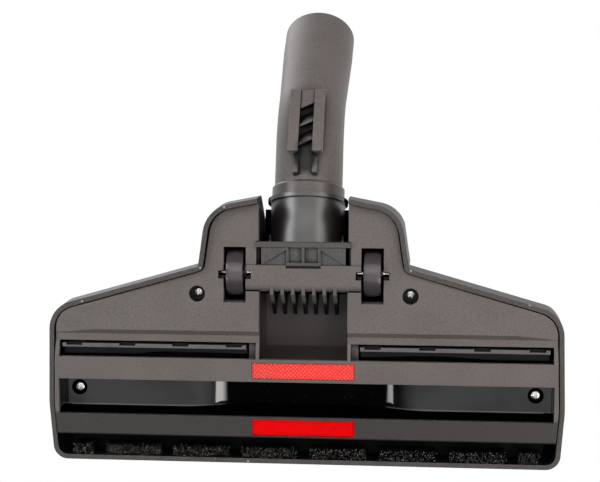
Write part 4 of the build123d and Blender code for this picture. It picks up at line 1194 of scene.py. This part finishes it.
@dataclass(frozen=True)
class Lamp:
    """A soft box: where it stands, what it faces, its size and its light."""

    name: str
    place: Point
    aim: Point
    size: Pair
    power: float
    tint: Point = (1.0, 1.0, 1.0)

    def build(self) -> None:
        """Adds the lamp."""
        light = bpy.data.lights.new(self.name, "AREA")
        light.shape = "RECTANGLE"
        light.size, light.size_y = self.size
        light.energy = self.power
        light.color = self.tint
        lamp = bpy.data.objects.new(self.name, light)
        lamp.location = self.place
        toward = Vector(self.aim) - Vector(self.place)
        lamp.rotation_euler = toward.to_track_quat("-Z", "Y").to_euler()
        bpy.context.scene.collection.objects.link(lamp)


@dataclass(frozen=True)
class Studio:
    """A white studio with soft boxes below and above, a pale floor and the photograph's camera.

    Attributes:
        pitch, yaw, roll: The camera's turns in degrees, fitted to the photograph.
        above, below: The slopes over which light from above or straight below sets in.
    """

    focal_pixels: float = 1490.0
    image_width: int = 600
    sensor: float = 36.0
    pitch: float = 7.975
    yaw: float = 5.241
    roll: float = 0.607
    camera_place: Point = (-0.07142, 0.18160, -0.78604)
    clip: Pair = (0.01, 50.0)
    white: float = 1.0
    above: Pair = (-0.1, 0.4)
    below: Pair = (0.7, 0.95)
    dim_diffuse: float = 0.12
    bright_diffuse: float = 0.55
    dim_gloss: float = 0.06
    low_gloss: float = 1.2
    floor_size: float = 6.0
    floor_drop: float = 0.5 * MM
    floor_tone: Colour = srgb(240, 240, 240)
    floor_fade: Pair = (0.3, 0.75)
    lamps: tuple[Lamp, ...] = (
        Lamp("warm_front", (-0.49, -0.215, -0.615), (0.0, -0.02, 0.0), (0.46, 0.16), 2.4, (1.0, 0.95, 0.90)),
        Lamp("cool_front", (0.59, -0.22, -0.51), (0.0, -0.02, 0.0), (0.34, 0.11), 1.3, (0.93, 0.97, 1.0)),
        Lamp("warm_rear", (-0.6, 0.46, -0.47), (0.0, 0.07, 0.02), (0.36, 0.28), 1.7, (1.0, 0.94, 0.90)),
        Lamp("cool_rear", (0.66, 0.44, -0.42), (0.0, 0.07, 0.02), (0.34, 0.32), 3.0, (0.97, 0.98, 1.0)),
        Lamp("rear_box", (-0.05, 0.55, -0.75), (0.0, 0.03, 0.0), (1.3, 0.7), 4.2, (1.0, 0.97, 0.95)),
        Lamp("top_box", (-0.5, -0.7, 0.9), (0.0, 0.05, 0.03), (0.8, 0.8), 9.0),
        Lamp("back_box", (0.6, 0.8, 0.8), (0.0, 0.05, 0.03), (0.8, 0.8), 6.0),
    )

    def camera(self) -> None:
        """Adds the camera where the photograph was taken from."""
        turn = (
            Matrix.Rotation(math.radians(self.roll), 3, "Z")
            @ Matrix.Rotation(math.radians(self.yaw), 3, "Y")
            @ Matrix.Rotation(math.radians(self.pitch), 3, "X")
        )
        from_below = Matrix(((-1, 0, 0), (0, -1, 0), (0, 0, 1)))
        right, down, ahead = (turn @ from_below)[:]
        data = bpy.data.cameras.new("photo_camera")
        data.sensor_width = self.sensor
        data.lens = self.focal_pixels / self.image_width * self.sensor
        data.clip_start, data.clip_end = self.clip
        camera = bpy.data.objects.new("photo_camera", data)
        facing = Matrix((right, -down, -ahead)).transposed().to_4x4()
        camera.matrix_world = Matrix.Translation(self.camera_place) @ facing
        bpy.context.scene.collection.objects.link(camera)
        bpy.context.scene.camera = camera

    def world(self) -> None:
        """Makes the surroundings: white to the camera, dim below, bright straight below for gloss."""
        world = bpy.data.worlds.new("studio")
        bpy.context.scene.world = world
        g = Graph(world)
        toward = g.add("ShaderNodeTexCoord", output="Generated")
        height = g.add("ShaderNodeSeparateXYZ", inputs={0: toward}, output="Z")
        up = g.span(height, *self.above)
        down = g.span(height * -1.0, *self.below)
        seen = g.add("ShaderNodeLightPath", output="Is Camera Ray")
        gloss = g.add("ShaderNodeLightPath", output="Is Glossy Ray")
        through = g.add("ShaderNodeLightPath", output="Is Transmission Ray")
        diffuse_level = self.dim_diffuse + up * (self.bright_diffuse - self.dim_diffuse)
        gloss_level = self.dim_gloss + up * (self.white - self.dim_gloss)
        gloss_level = gloss_level + down * (self.low_gloss - self.dim_gloss)
        mirrored = gloss.most(through)
        level = diffuse_level * (1 - mirrored) + gloss_level * mirrored
        level = level * (1 - seen) + seen * self.white
        shine = g.add("ShaderNodeBackground", inputs={"Color": (1, 1, 1, 1), "Strength": level})
        g.node("ShaderNodeOutputWorld", inputs={"Surface": shine})

    def floor(self) -> None:
        """Lays a pale floor that shows from above only, with the object's shadow on it."""
        Bench.clear()
        bpy.ops.mesh.primitive_plane_add(size=self.floor_size, location=(0, 0, -self.floor_drop))
        plane = Bench.name("floor")
        g = Graph(bpy.data.materials.new("floor_paper"))
        under = g.add("ShaderNodeNewGeometry", output="Backfacing")
        seen = g.add("ShaderNodeLightPath", output="Is Camera Ray")
        hidden = under.most(1 - seen)
        paper = g.add("ShaderNodeBsdfDiffuse", inputs={"Color": self.floor_tone})
        clear = g.add("ShaderNodeBsdfTransparent")
        bright = g.add("ShaderNodeEmission", inputs={"Strength": self.white})
        spot = g.add("ShaderNodeTexCoord", output="Object")
        far = g.add("ShaderNodeVectorMath", {"operation": "LENGTH"}, {0: spot}, "Value")
        faded = g.span(far, *self.floor_fade)
        ground = g.add("ShaderNodeMixShader", inputs={0: faded, 1: paper, 2: bright})
        shown = g.add("ShaderNodeMixShader", inputs={0: hidden, 1: ground, 2: clear})
        g.node("ShaderNodeOutputMaterial", inputs={"Surface": shown})
        plane.data.materials.append(g.owner)

    def build(self) -> None:
        """Sets up the camera, surroundings, floor and lamps."""
        bpy.context.scene.view_settings.view_transform = "Standard"
        self.camera()
        self.world()
        self.floor()
        for lamp in self.lamps:
            lamp.build()
            LOG.info("lamp %s", lamp.name)


LIP_WAVES = {
    "rubber_lip_right": ((0.0, 1.0 * MM), (0.25, 1.4 * MM), (0.45, 1.6 * MM), (0.62, 0.1 * MM), (1.0, 0.0)),
    "rubber_lip_left": ((0.0, 0.3 * MM), (0.37, 1.5 * MM), (0.7, 0.1 * MM), (1.0, 0.0)),
}


def main() -> None:
    """Builds the studio, the solids' finishes and the detailed pieces, in order."""
    logging.basicConfig(level=logging.INFO, format="%(message)s")
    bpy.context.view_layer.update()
    Studio().build()
    for node, look in NODE_LOOKS.items():
        look.value.dress(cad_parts[node])
        LOG.info("%s: %s", node, look.value.name)
    BristleRow().build()
    LintPicker("lint_picker_front", Look.FRONT_PILE, lean=0.35 * MM, seed=21, tuft_strands=12).build()
    LintPicker(
        "lint_picker_rear", Look.REAR_PILE, lean=0.0, seed=22,
        tuft_radius=0.42 * MM, pitch=2.2 * MM, row_pitch=1.1 * MM, row_shift=1.1 * MM,
    ).build()
    for node, wave in LIP_WAVES.items():
        RubberLip(node, wave).build()
    Screws().build()


if __name__ == "__main__":
    main()
